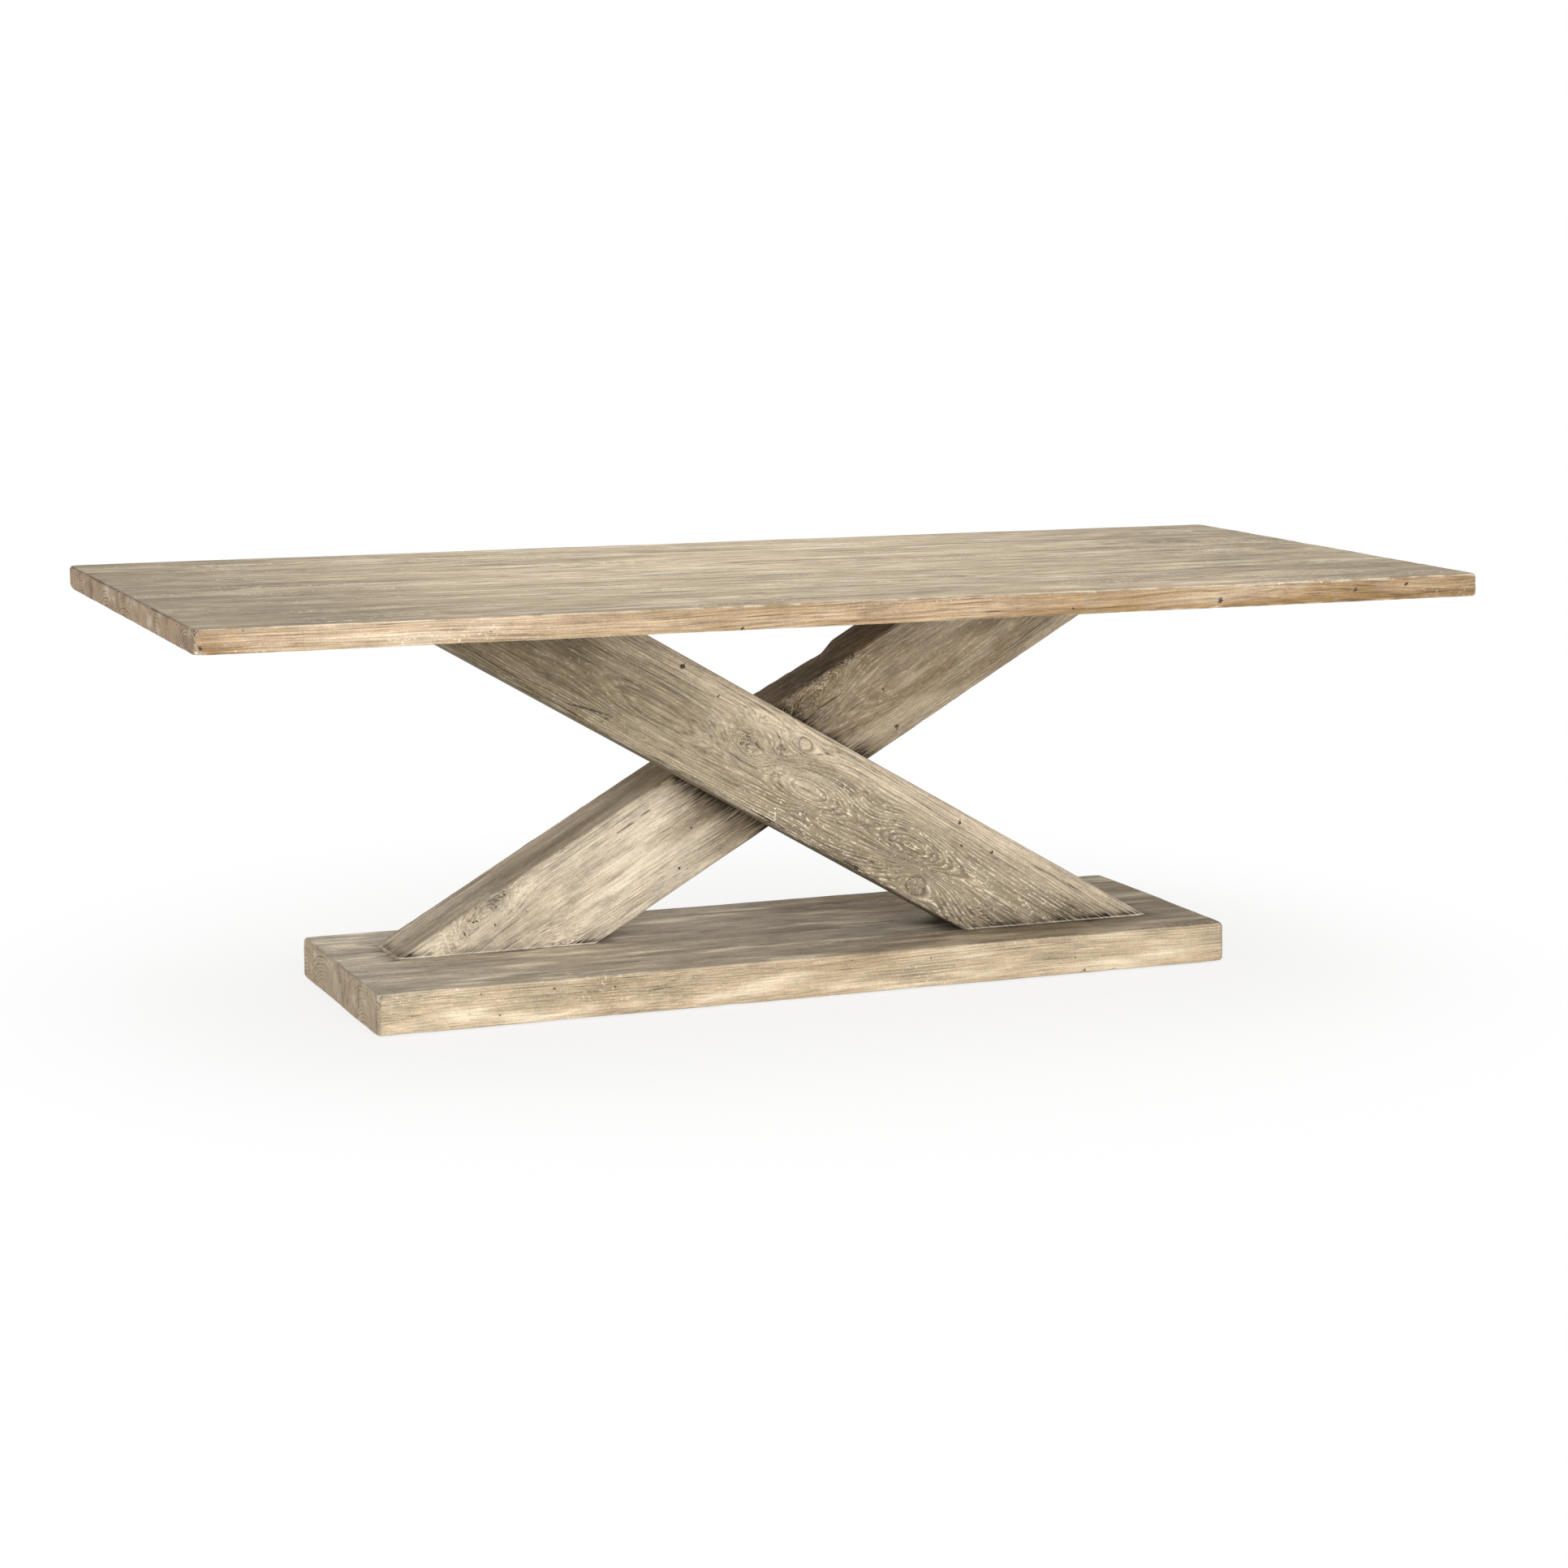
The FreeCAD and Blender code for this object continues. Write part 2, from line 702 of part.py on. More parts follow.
def frame_fixings():
    """Coach screws and washers of the feet and the crossing, the tenons and the key."""
    ring = washer("coach_washer", "coach_washer_diameter", "coach_diameter", "coach_washer_thickness")
    foot_screw = coach_screw("foot_screw", "foot_screw_length")
    foot_seat = "pad_thickness + counterbore_depth - coach_washer_thickness"
    foot_spots = at_level(foot_screw_spots(FRONT) + foot_screw_spots(REAR), foot_seat)
    crossing_screw = coach_screw("crossing_screw", "crossing_screw_length")
    back_seat = "baulk_depth - counterbore_depth + coach_washer_thickness"
    crossing_spots = [(x, back_seat, f"crossing_height + {z}", 90) for x, z in crossing_screw_spots()]
    return [
        group("foot_coach_screws", foot_screw, foot_spots),
        group("crossing_coach_screws", crossing_screw, crossing_spots),
        group("coach_washers", ring, foot_spots + crossing_spots),
        tenon("left_foot_tenon", REAR),
        tenon("right_foot_tenon", FRONT),
        block("crossing_key", "key_side", "key_length", "key_side", "0", "0", "crossing_height"),
    ]


def tenon(label, side):
    """Loose tenon half in the plinth and half in a foot."""
    return block(label, "tenon_length", "tenon_width", "tenon_height", *tenon_spot(side), PLINTH_TOP)


def felt_pads():
    """Felt pads under the plinth's corners and the middle of its long sides."""
    end = "(plinth_length / 2 - pad_end_inset)"
    side = "(plinth_width / 2 - pad_side_inset)"
    middles = [(x, y) for x in (f"-{end}", "0", end) for y in (f"-{side}", side)]
    pad_piece = block("felt_pad", "pad_side", "pad_side", "pad_thickness", "0", "0", "0")
    corners = [(limits(x, "pad_side")[0], limits(y, "pad_side")[0]) for x, y in middles]
    return group("felt_pads", pad_piece, at_level(corners, "0"))


def build():
    """Makes every node of the table and returns them."""
    fill_sheet()
    nodes = table_top() + plinth()
    nodes += [front_baulk(), rear_baulk()]
    nodes += [batten("left_batten", FRONT), batten("right_batten", REAR)]
    nodes += top_fixings() + frame_fixings() + [felt_pads()]
    DOC.recompute()
    return nodes


def check(nodes):
    """Stops the build if any object failed or any node's shape is missing or broken."""
    for thing in DOC.Objects:
        if "Invalid" in thing.State or "Error" in thing.State:
            raise RuntimeError(f"{thing.Name} failed: {thing.State}")
    for node in nodes:
        if node.Shape.isNull() or not node.Shape.isValid():
            raise RuntimeError(f"{node.Label} has no valid shape")


def export(nodes):
    """Writes each node to its own STEP file."""
    os.makedirs("parts", exist_ok=True)
    for node in nodes:
        node.Shape.exportStep(f"parts/{node.Label}.step")
        print(f"{node.Label}: {len(node.Shape.Solids)} solid(s), {node.Shape.Volume / 1000:.0f} cm3")


NODES = build()
check(NODES)
export(NODES)
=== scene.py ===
"""Looks of a long sawbuck table: weathered pine boards and baulks with worn arrises, knots and open grain.

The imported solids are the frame. Boards and baulks are made again as fine surfaces whose points also
carry their place in the tree they were sawn from, and the other pieces keep their solids. Metres.
"""

import json
import math
from collections import namedtuple

import bpy
import numpy as np
from mathutils import Matrix, Vector


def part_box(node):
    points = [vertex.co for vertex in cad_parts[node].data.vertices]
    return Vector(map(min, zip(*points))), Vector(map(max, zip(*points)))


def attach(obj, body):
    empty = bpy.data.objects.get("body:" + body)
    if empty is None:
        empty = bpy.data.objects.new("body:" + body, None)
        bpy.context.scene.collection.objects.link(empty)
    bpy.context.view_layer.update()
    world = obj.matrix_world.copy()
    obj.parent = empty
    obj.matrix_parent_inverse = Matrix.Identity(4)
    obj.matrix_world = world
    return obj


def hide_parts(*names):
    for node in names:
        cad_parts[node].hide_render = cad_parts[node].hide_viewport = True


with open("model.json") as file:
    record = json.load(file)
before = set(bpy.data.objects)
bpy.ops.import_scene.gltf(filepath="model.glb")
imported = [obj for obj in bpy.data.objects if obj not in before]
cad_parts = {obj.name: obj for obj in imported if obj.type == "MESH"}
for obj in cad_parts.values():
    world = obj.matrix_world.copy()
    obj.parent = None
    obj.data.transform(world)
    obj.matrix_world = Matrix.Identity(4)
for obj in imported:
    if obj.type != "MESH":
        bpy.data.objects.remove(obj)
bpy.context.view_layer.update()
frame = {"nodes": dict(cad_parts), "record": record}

bl_info = {
    "name": "Sawbuck Table",
    "version": (1, 0, 0),
    "blender": (4, 5, 0),
    "location": "View3D > Sidebar > Sawbuck",
    "description": "Weathered pine table on two crossed baulks and a plank plinth",
    "category": "Object",
}

MM = 0.001
BODY = "root"
BATTENS = ("left_batten", "right_batten")

# A timber: the middle of its main face, its three directions as rows, its thickness, the place of its
# pith (across, out) and how the pith leans, and what marks it
Timber = namedtuple("Timber", "centre axes thick pith lean knots eyes splits seed")
Knot = namedtuple("Knot", "along across size torn side")
Eye = namedtuple("Eye", "along across length width swell")
Split = namedtuple("Split", "start end width depth")
Chip = namedtuple("Chip", "place size bite")
Spot = namedtuple("Spot", "x y z radius")
# The skin of a timber in its own directions: flat and shaped points, outward directions, quads, discs,
# and a mask of broken wood
Skin = namedtuple("Skin", "flat shaped outward quads discs broken")

_, Y, Z = np.eye(3)


# ---------------------------------------------------------------- settings

def length(title, description, default):
    """Property for a length in metres."""
    return bpy.props.FloatProperty(name=title, description=description, default=default, unit="LENGTH")


def linear(code):
    """Linear colour of an sRGB hex code: ((c + 0.055) / 1.055)^2.4, or c / 12.92 below 0.04045."""
    levels = np.array([int(code[i:i + 2], 16) for i in (1, 3, 5)]) / 255
    return tuple(np.where(levels > 0.04045, ((levels + 0.055) / 1.055) ** 2.4, levels / 12.92))


def colour(title, description, code):
    """Property for a colour given as an sRGB hex code."""
    return bpy.props.FloatVectorProperty(
        name=title, description=description, default=linear(code), subtype="COLOR", min=0, max=1
    )


class SawbuckSizes(bpy.types.PropertyGroup):
    """Sizes of the wear and of the weathered surface."""

    top_arris: length("Top arris", "Radius of the top's worn arrises", 5 * MM)
    plinth_arris: length("Plinth arris", "Radius of the plinth's worn arrises", 5 * MM)
    baulk_arris: length("Baulk arris", "Radius of the baulks' outer arrises", 7 * MM)
    lower_arris: length("Lower arris", "Radius of the arrises that hardly wear", 3 * MM)
    corner: length("Corner", "Extra radius at the upright corners of the slabs", 4 * MM)
    arris_wear: length("Arris wear", "How much the arrises' radius wanders", 1.8 * MM)
    undulation: length("Undulation", "Depth of the hollows left by hand planing", 0.7 * MM)
    baulk_width: length("Baulk width", "Width of a baulk across its sloping faces", 195 * MM)
    baulk_slope: bpy.props.FloatProperty(
        name="Baulk slope", description="Slope of the baulks", default=math.radians(30), subtype="ANGLE"
    )
    crossing_height: length("Crossing height", "Height of the baulks' crossing", 387 * MM)
    counterbore: length("Counterbore", "Radius of the holes that hide the coach screws", 19 * MM)
    counterbore_depth: length("Counterbore depth", "Depth of those holes", 22 * MM)
    trench_neck: length("Trench neck", "Half the width of a batten's trench where it opens", 35 * MM)
    trench_root: length("Trench root", "Half the width of a batten's trench at its bottom", 38.9 * MM)
    trench_depth: length("Trench depth", "Depth of a batten's trench", 14.5 * MM)
    top_ring: length("Top ring", "Width of a growth ring in the top", 4 * MM)
    plinth_ring: length("Plinth ring", "Width of a growth ring in the plinth", 4.6 * MM)
    baulk_ring: length("Baulk ring", "Width of a growth ring in the baulks", 3.5 * MM)


class SawbuckColours(bpy.types.PropertyGroup):
    """Colours of the timbers and fixings."""

    top_deep: colour("Top, deep", "Greyest part of the top's face", "#93846b")
    top_pale: colour("Top, pale", "Palest part of the top's face", "#d0bda0")
    top_edge_deep: colour("Top edge, deep", "Browner part of the top's long edges", "#a28155")
    top_edge_pale: colour("Top edge, pale", "Rubbed part of the top's long edges", "#dfc5a6")
    top_end: colour("Top end", "End grain of the top", "#b89d7f")
    plinth_deep: colour("Plinth, deep", "Greyest part of the plinth's face", "#91826b")
    plinth_pale: colour("Plinth, pale", "Palest part of the plinth's face", "#cfc3b0")
    plinth_edge_deep: colour("Plinth edge, deep", "Browner part of the plinth's long edges", "#b9a07e")
    plinth_edge_pale: colour("Plinth edge, pale", "Rubbed part of the plinth's long edges", "#ead6b6")
    plinth_end: colour("Plinth end", "End grain of the plinth", "#c5b195")
    front_deep: colour("Front baulk, deep", "Darkest part of the front baulk", "#95866b")
    front_pale: colour("Front baulk, pale", "Palest part of the front baulk", "#e3d1b6")
    rear_deep: colour("Rear baulk, deep", "Darkest part of the rear baulk", "#a99577")
    rear_pale: colour("Rear baulk, pale", "Palest part of the rear baulk", "#f0e0c8")
    batten_pine: colour("Batten", "Sawn pine of the battens", "#b39a76")
    dark_grain: colour("Dark grain", "Dirt in the open grain", "#5c4c38")
    pale_grain: colour("Pale grain", "Rubbed grain", "#f6ecd6")
    liming: colour("Liming", "Lime left in the open grain", "#fceed4")
    weathered: colour("Weathered", "Patches that have gone grey", "#8d877c")
    knot_brown: colour("Knot", "Heart of a knot", "#86694e")
    # This dark colour is dirt, and also the painted shade where the timbers meet, under the top and on the
    # baulks' undersides
    grime: colour("Grime", "Dirt where the timbers meet", "#332a1f")
    beech: colour("Beech", "Tongues, tenons and pegs", "#c19a6b")
    beech_grain: colour("Beech grain", "Rings of the beech", "#8a6238")
    zinc: colour("Zinc", "Screws and washers", "#a9a9a3")
    dull_zinc: colour("Dull zinc", "Patches of the zinc that have dulled", "#6f6f6a")
    felt: colour("Felt", "Pads under the plinth", "#4a4036")
    floor: colour("Floor", "Floor", "#f4f3f1")


# ---------------------------------------------------------------- noise

HASH_FACTORS = np.array([0x9E3779B1, 0x85EBCA77, 0xC2B2AE3D], np.uint64)
HASH_MIXERS = (0x2C1B3C6D, 0x297A2D39)
HASH_SHIFT = np.uint64(15)
HASH_RANGE = 0xFFFFFF
HASH_SEED_STEP = 7919


def scatter(cells, seed):
    """Repeatable number from 0 to 1 for each row of whole numbers, made by mixing their bits."""
    bits = (cells.astype(np.int64).astype(np.uint64) * HASH_FACTORS).sum(axis=-1)
    bits = bits + np.uint64(seed * HASH_SEED_STEP)
    for mixer in HASH_MIXERS:
        bits = (bits ^ (bits >> HASH_SHIFT)) * np.uint64(mixer)
    return ((bits ^ (bits >> HASH_SHIFT)) & np.uint64(HASH_RANGE)) / HASH_RANGE


def noise(points, cell, seed):
    """Smooth noise from -1 to 1: random numbers on a lattice, blended by 3t^2 - 2t^3 on each axis."""
    scaled = points / cell
    corner = np.floor(scaled)
    t = scaled - corner
    t = t * t * (3 - 2 * t)
    total = np.zeros(len(points))
    for step in np.ndindex(2, 2, 2):
        weight = np.prod(np.where(step, t, 1 - t), axis=1)
        total += weight * scatter(corner + step, seed)
    return 2 * total - 1


def ease(value, start, stop):
    """Smooth step from 0 at start to 1 at stop: 3t^2 - 2t^3 with t clamped."""
    t = np.clip((value - start) / (stop - start), 0, 1)
    return t * t * (3 - 2 * t)


def hump(value, middle, width):
    """Bell curve exp(-((value - middle) / width)^2)."""
    return np.exp(-((value - middle) / width) ** 2)


# ---------------------------------------------------------------- surfaces

def stations(low, high, step, fine=()):
    """Places from low to high about a step apart, and closer in spans of (centre, reach, step)."""
    places = np.linspace(low, high, round((high - low) / step) + 1)
    for centre, reach, small in fine:
        start, stop = max(low, centre - reach), min(high, centre + reach)
        if stop <= start:
            continue
        close = np.linspace(start, stop, max(2, round((stop - start) / small) + 1))
        apart = (places < start - small / 2) | (places > stop + small / 2)
        places = np.concatenate([places[apart], close])
    return np.unique(np.round(np.concatenate([[low, high], places]), 6))


def shell(xs, ys, zs):
    """Points and outward quads of the skin of a block that is divided at the stations."""
    counts = np.array([len(xs), len(ys), len(zs)])
    stride = np.array([counts[1] * counts[2], counts[2], 1])
    quads = []
    for axis in range(3):
        first, second = (axis + 1) % 3, (axis + 2) % 3
        i, j = np.meshgrid(np.arange(counts[first] - 1), np.arange(counts[second] - 1), indexing="ij")
        for side in (0, counts[axis] - 1):
            base = side * stride[axis]
            ring = [(0, 0), (1, 0), (1, 1), (0, 1)]
            quad = np.stack([base + (i + a) * stride[first] + (j + b) * stride[second] for a, b in ring], -1)
            quads.append(quad.reshape(-1, 4)[:, ::1 if side else -1])
    used, quads = np.unique(np.concatenate(quads), return_inverse=True)
    i, j, k = np.unravel_index(used, counts)
    return np.stack([xs[i], ys[j], zs[k]], axis=1), quads.reshape(-1, 4)


def bore(points, quads, centre, reach, radius, depth):
    """Sinks a round hole into the side of a shell at the low end of its third direction.

    The quads within reach of the centre come out. The rim of the gap is drawn straight in to a
    circle, c + r (p - c) / |p - c|, which then goes in by the depth and is closed by a disc.
    """
    apart = np.abs(points - centre)
    near = (apart[:, :2] < reach).all(axis=1) & (apart[:, 2] < MM / 100)
    gone = near[quads].all(axis=1)
    edges = np.stack([quads[gone], np.roll(quads[gone], -1, axis=1)], axis=-1).reshape(-1, 2)
    pairs = set(map(tuple, edges.tolist()))
    following = {a: b for a, b in pairs if (b, a) not in pairs}
    rim = [min(following)]
    while following[rim[-1]] != rim[0]:
        rim.append(following[rim[-1]])
    rim = np.array(rim)
    spokes = points[rim] - centre
    mouth = centre + radius * spokes / np.linalg.norm(spokes, axis=1, keepdims=True)
    floor = mouth + depth * Z
    start = len(points)
    rings = [rim, start + np.arange(len(rim)), start + len(rim) + np.arange(len(rim))]
    walls = [
        np.stack([upper, np.roll(upper, -1), np.roll(lower, -1), lower], axis=1)
        for upper, lower in zip(rings, rings[1:])
    ]
    points = np.concatenate([points, mouth, floor])
    return points, np.concatenate([quads[~gone]] + walls), rings[-1].tolist()


def counterbores(points, quads, centres, reach, sizes):
    """Sinks the holes that hide the coach screws. Returns the points, the quads and the closing discs."""
    discs = []
    for centre in centres:
        points, quads, disc = bore(
            points, quads, centre, reach * sizes.counterbore, sizes.counterbore, sizes.counterbore_depth
        )
        discs.append(disc)
    return points, quads, discs


def rounded(points, low, high, radius):
    """Rounds a block's edges: c = clamp(p, low + r, high - r) and p' = c + r (p - c) / |p - c|.

    Returns the points and their outward directions, which are zero inside the block.
    """
    radius = radius[:, None]
    inner = np.clip(points, low + radius, high - radius)
    outward = points - inner
    reach = np.linalg.norm(outward, axis=1, keepdims=True)
    outward = np.divide(outward, reach, out=np.zeros_like(outward), where=reach > MM / 1000)
    return np.where(reach > MM / 1000, inner + radius * outward, points), outward


# Faces that meet at more than this angle keep a sharp edge
SHARP_ANGLE = math.radians(50)
ATTRIBUTE_KINDS = {1: ("FLOAT", "value"), 3: ("FLOAT_VECTOR", "vector"), 4: ("FLOAT_COLOR", "color")}


def make_piece(name, points, faces, fields, material, node):
    """Makes a mesh object from points and faces, with its fields as point attributes, and seats it."""
    mesh = bpy.data.meshes.new(name)
    mesh.from_pydata(points.tolist(), [], faces)
    for field, values in fields.items():
        kind, key = ATTRIBUTE_KINDS[1 if values.ndim == 1 else values.shape[1]]
        attribute = mesh.attributes.new(field, kind, "POINT")
        attribute.data.foreach_set(key, values.astype(np.float32).ravel())
    mesh.shade_smooth()
    mesh.set_sharp_from_angle(angle=SHARP_ANGLE)
    mesh.materials.append(material)
    piece = bpy.data.objects.new(name, mesh)
    bpy.context.scene.collection.objects.link(piece)
    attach(piece, BODY)
    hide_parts(node)


# ---------------------------------------------------------------- timber

PITH_WANDER = 9 * MM
RING_WOBBLE = 1.2 * MM
KNOT_DEPTH = 35 * MM
# A knot's mask falls from 1 at its middle to 0 at this many times its radius
KNOT_REACH = 1.6
# How much a knot swells the rings, the depth of the groove round it, and the torn depth at which
# nothing of its rings is left
KNOT_SWELL = 1.3
RIM_DEPTH = 0.4 * MM
ALL_TORN = 3 * MM
LEAST_ARRIS = 1.3 * MM


def buried(place, knot, timber):
    """Depth of each place below the face that a knot shows on."""
    return -place[:, 2] if knot.side > 0 else timber.thick + place[:, 2]


def grain(place, timber):
    """Place in the tree: way along, distance from the pith and way round it.

    The pith leans and wanders. Each knot of radius r turns the fibres aside like water round a post,
    v - dv r^2 / max(d^2, r^2), and swells the rings by 1.3 r exp(-d^2 / 7 r^2), with d the distance
    from the knot when lengths along the grain are halved. An eye swells them by its own bell curve.
    """
    along, across, out = place.T
    line = np.stack([along, 0 * along, 0 * along], axis=1)
    shifted = across.copy()
    swell = np.zeros(len(along))
    for knot in timber.knots:
        aside = across - knot.across
        square = ((along - knot.along) / 2) ** 2 + aside ** 2
        near = ease(buried(place, knot, timber), 2 * KNOT_DEPTH, KNOT_DEPTH)
        shifted -= near * aside * knot.size ** 2 / np.maximum(square, knot.size ** 2)
        swell += near * KNOT_SWELL * knot.size * np.exp(-square / (7 * knot.size ** 2))
    for eye in timber.eyes:
        bell = hump(along, eye.along, eye.length) * hump(across, eye.across, eye.width)
        swell -= eye.swell * bell * ease(-out, 0.7 * timber.thick, 0.1 * timber.thick)
    from_pith = [
        shifted - timber.pith[0] - timber.lean[0] * along - PITH_WANDER * noise(line, 0.55, timber.seed),
        out - timber.pith[1] - timber.lean[1] * along - PITH_WANDER * noise(line, 0.4, timber.seed + 1),
    ]
    wobble = RING_WOBBLE * noise(place, (0.1, 0.025, 0.025), timber.seed + 2)
    radius = np.hypot(*from_pith) + swell + wobble
    round_pith = np.arctan2(*from_pith) * math.hypot(*timber.pith)
    apart = 3.7 * timber.seed
    return np.stack([along + apart, radius, round_pith + apart], axis=1)


def split_depth(place, split, seed):
    """Depth of a crack that runs between two places: depth (1 - d^2 / width^2), thinner at its tips."""
    start = split.start
    run = split.end - start
    flat = place[:, :2] + np.stack([0 * place[:, 0], 0.9 * split.width * noise(place, 0.011, seed)], axis=1)
    t = np.clip((flat - start) @ run / (run @ run), 0, 1)
    apart = np.linalg.norm(flat - start - t[:, None] * run, axis=1)
    width = split.width * (0.35 + 0.65 * np.sin(math.pi * t) ** 0.5)
    return split.depth * np.clip(1 - (apart / width) ** 2, 0, 1)


def surface_marks(place, outward, timber, undulation):
    """How far the surface has sunk, and masks for sound knots, splits and torn wood.

    A knot's outline is a circle of its radius, drawn out along the grain and bent by a noise, and the
    surface is sunk along it. One torn 3 mm deep or more has no ring left to see, only rough wood.
    """
    sunk = undulation * (0.5 + 0.5 * noise(place, (0.22, 0.07, 0.07), timber.seed + 3))
    sunk += 0.25 * undulation * (1 + noise(place, (0.06, 0.012, 0.012), timber.seed + 4))
    knots, dark, torn = np.zeros((3, len(place)))
    rough = 0.5 + 0.5 * noise(place, (9 * MM, 5 * MM, 5 * MM), timber.seed + 5)
    for knot in timber.knots:
        shown = 1 - ease(buried(place, knot, timber), 0.5 * KNOT_DEPTH, KNOT_DEPTH)
        facing = np.clip(knot.side * outward[:, 2], 0, 1)
        apart = np.hypot((place[:, 0] - knot.along) / 1.2, place[:, 1] - knot.across) / knot.size
        apart *= 1 + 0.22 * noise(place, 1.1 * knot.size, timber.seed + 16)
        wild = min(1, knot.torn / ALL_TORN)
        knots = np.maximum(knots, shown * (1 - 0.8 * wild) * np.clip(1 - apart / KNOT_REACH, 0, 1))
        tear = 1 - ease(apart + 0.8 * (rough - 0.5), 0.5, 1.7)
        torn = np.maximum(torn, shown * wild * tear)
        sunk += facing * (RIM_DEPTH * hump(apart, 1, 0.2) + knot.torn * rough * tear)
    for split in timber.splits:
        depth = np.clip(outward[:, 2], 0, 1) * split_depth(place, split, timber.seed + 6)
        sunk += depth
        dark = np.maximum(dark, ease(depth / split.depth, 0.05, 0.5))
    return sunk, knots, dark, torn


def arris_mask(outward):
    """1 on the middle of a rounded arris and 0 on a flat face, from the largest part of the normal."""
    largest = np.abs(outward).max(axis=1)
    return np.clip((1 - largest) / 0.25, 0, 1) * (largest > 0)


def timber_piece(node, timber, skin, painted, undulation, limits, material):
    """Seats a timber's skin: sinks it by its marks, and gives its points their grain and masks.

    painted is a function of the timber, the skin and the points on the table. It returns the masks
    for dirt with painted shade, rubbed wood, dark wood and lime, and the tone, which on the baulks also
    holds painted shade.
    """
    sunk, knots, dark, torn = surface_marks(skin.flat, skin.outward, timber, undulation)
    shaped = skin.shaped - skin.outward * sunk[:, None]
    points = np.clip(timber.centre + shaped @ timber.axes, *limits)
    masks = painted(timber, skin, points)
    outward = np.abs(skin.outward)
    zones = np.stack([outward[:, 1], outward[:, 0], masks["worn"], masks["grime"]], axis=1)
    dark, torn = np.maximum(dark, masks["dark"]), np.maximum(torn, skin.broken)
    marks = np.stack([knots, dark, masks["lime"], torn], axis=1)
    fields = {"grain": grain(skin.flat, timber), "zones": zones, "marks": marks, "tone": masks["tone"]}
    turned = -1 if np.linalg.det(timber.axes) < 0 else 1
    faces = skin.quads[:, ::turned].tolist() + [disc[::turned] for disc in skin.discs]
    make_piece(node + "_timber", points, faces, fields, material, node)


def broken_arris(radius, arris, outward):
    """Mask of the wood laid bare by chips: 1 on an arris whose radius has grown by 4.5 mm or more."""
    return ease(radius - arris, 1.5 * MM, 4.5 * MM) * arris_mask(outward)


def edge_radius(points, low, high, arris, lower_arris, chips, wear, seed):
    """Radius of a block's arrises: from lower to upper arris, wandering, and more at chips."""
    quarter = 0.25 * (high[2] - low[2])
    radius = lower_arris + (arris - lower_arris) * ease(points[:, 2], low[2] + quarter, high[2] - quarter)
    radius += wear * (0.6 * noise(points, 0.11, seed) + 0.5 * noise(points, 0.025, seed + 1))
    for chip in chips:
        radius += chip.bite * np.exp(-(np.linalg.norm(points - chip.place, axis=1) / chip.size) ** 2)
    return np.clip(radius, LEAST_ARRIS, 1.8 * quarter)


def in_metres(kind, rows):
    """Rows of millimetres made into tuples of one kind."""
    return [kind(*[np.multiply(value, MM) for value in row]) for row in rows]


def knots_in_metres(rows):
    """Knots from rows of along, across, size and torn depth in millimetres, and -1 for the back face."""
    return [Knot(*[value * MM for value in row[:4]], row[4] if len(row) > 4 else 1) for row in rows]


# ---------------------------------------------------------------- slabs: the top and the plinth

# Each board's pith, across from the table's middle line and out from the board's face, its lean, and
# knots and splits in millimetres from the table's middle
TOP_TIMBERS = {
    "top_front_board": ((-455, -74), (0.010, 0.022),
                        [(-560, -470, 6, 1), (655, -505, 7, 1), (1040, -430, 9, 1), (-220, -400, 12, 1, -1)],
                        [((-1190, -428), (-1030, -431), 1.2, 2.0)]),
    "top_second_board": ((-255, -88), (-0.012, -0.018),
                         [(270, -225, 13, 3), (-855, -210, 9, 1), (1010, -240, 7, 1),
                          (640, -190, 14, 2, -1)],
                         [((150, -214), (255, -220), 1.1, 2.0), ((300, -228), (430, -234), 1.0, 1.6)]),
    "top_middle_board": ((30, -150), (0.016, -0.010),
                         [(862, -82, 8, 3), (15, 7, 6, 2), (-735, -60, 9, 3), (-300, 20, 13, 1, -1)],
                         [((-690, -58), (-600, -62), 0.9, 1.4)]),
    "top_fourth_board": ((195, -96), (0.014, 0.020),
                         [(-300, 195, 14, 1), (450, 127, 8, 2), (-82, 120, 5, 3), (820, 210, 11, 1, -1)],
                         [((470, 132), (600, 138), 1.0, 1.4), ((-240, 188), (-150, 182), 1.0, 1.4)]),
    "top_back_board": ((395, -80), (-0.010, 0.018),
                       [(-630, 375, 10, 2), (1035, 382, 9, 2), (760, 470, 8, 1), (-900, 400, 12, 2, -1)],
                       [((-600, 380), (-440, 386), 1.0, 1.4)]),
}
PLINTH_TIMBERS = {
    "plinth_front_board": ((-170, -150), (0.010, 0.016),
                           [(-500, -220, 8, 1), (90, -190, 5, 2), (640, -120, 8, 1), (200, -150, 13, 2, -1)],
                           [((-830, -150), (-700, -154), 1.3, 2.0)]),
    "plinth_middle_board": ((90, -130), (-0.012, 0.018),
                            [(-120, 30, 7, 2), (560, 120, 7, 1), (-400, 60, 12, 1, -1)],
                            [((40, 20), (180, 25), 1.2, 1.6)]),
    "plinth_back_board": ((230, -160), (0.008, -0.020), [(-420, 220, 6, 1), (300, 236, 7, 1)], []),
}

# Chips in millimetres: place, size and how much the arris grows there
TOP_CHIPS = [
    ((-1198, -525, 721), 12, 9), ((-1080, -525, 760), 9, 4), ((-420, -525, 762), 16, 2.5),
    ((-700, -525, 762), 14, 2), ((655, -525, 721), 8, 4), ((880, -525, 762), 45, 2.5),
    ((1010, -525, 762), 30, 3), ((-1200, -180, 762), 14, 3), ((1200, 90, 762), 22, 3),
    ((240, -525, 762), 25, 2), ((-1200, 515, 722), 12, 4), ((410, -525, 762), 12, 3),
]
PLINTH_CHIPS = [
    ((-836, -257, 78), 12, 3), ((-500, -257, 78), 14, 3), ((600, -257, 4), 12, 6), ((-180, -257, 4), 10, 4),
    ((836, -257, 78), 12, 2), ((150, -257, 78), 30, 2), ((-836, 40, 78), 25, 3),
]
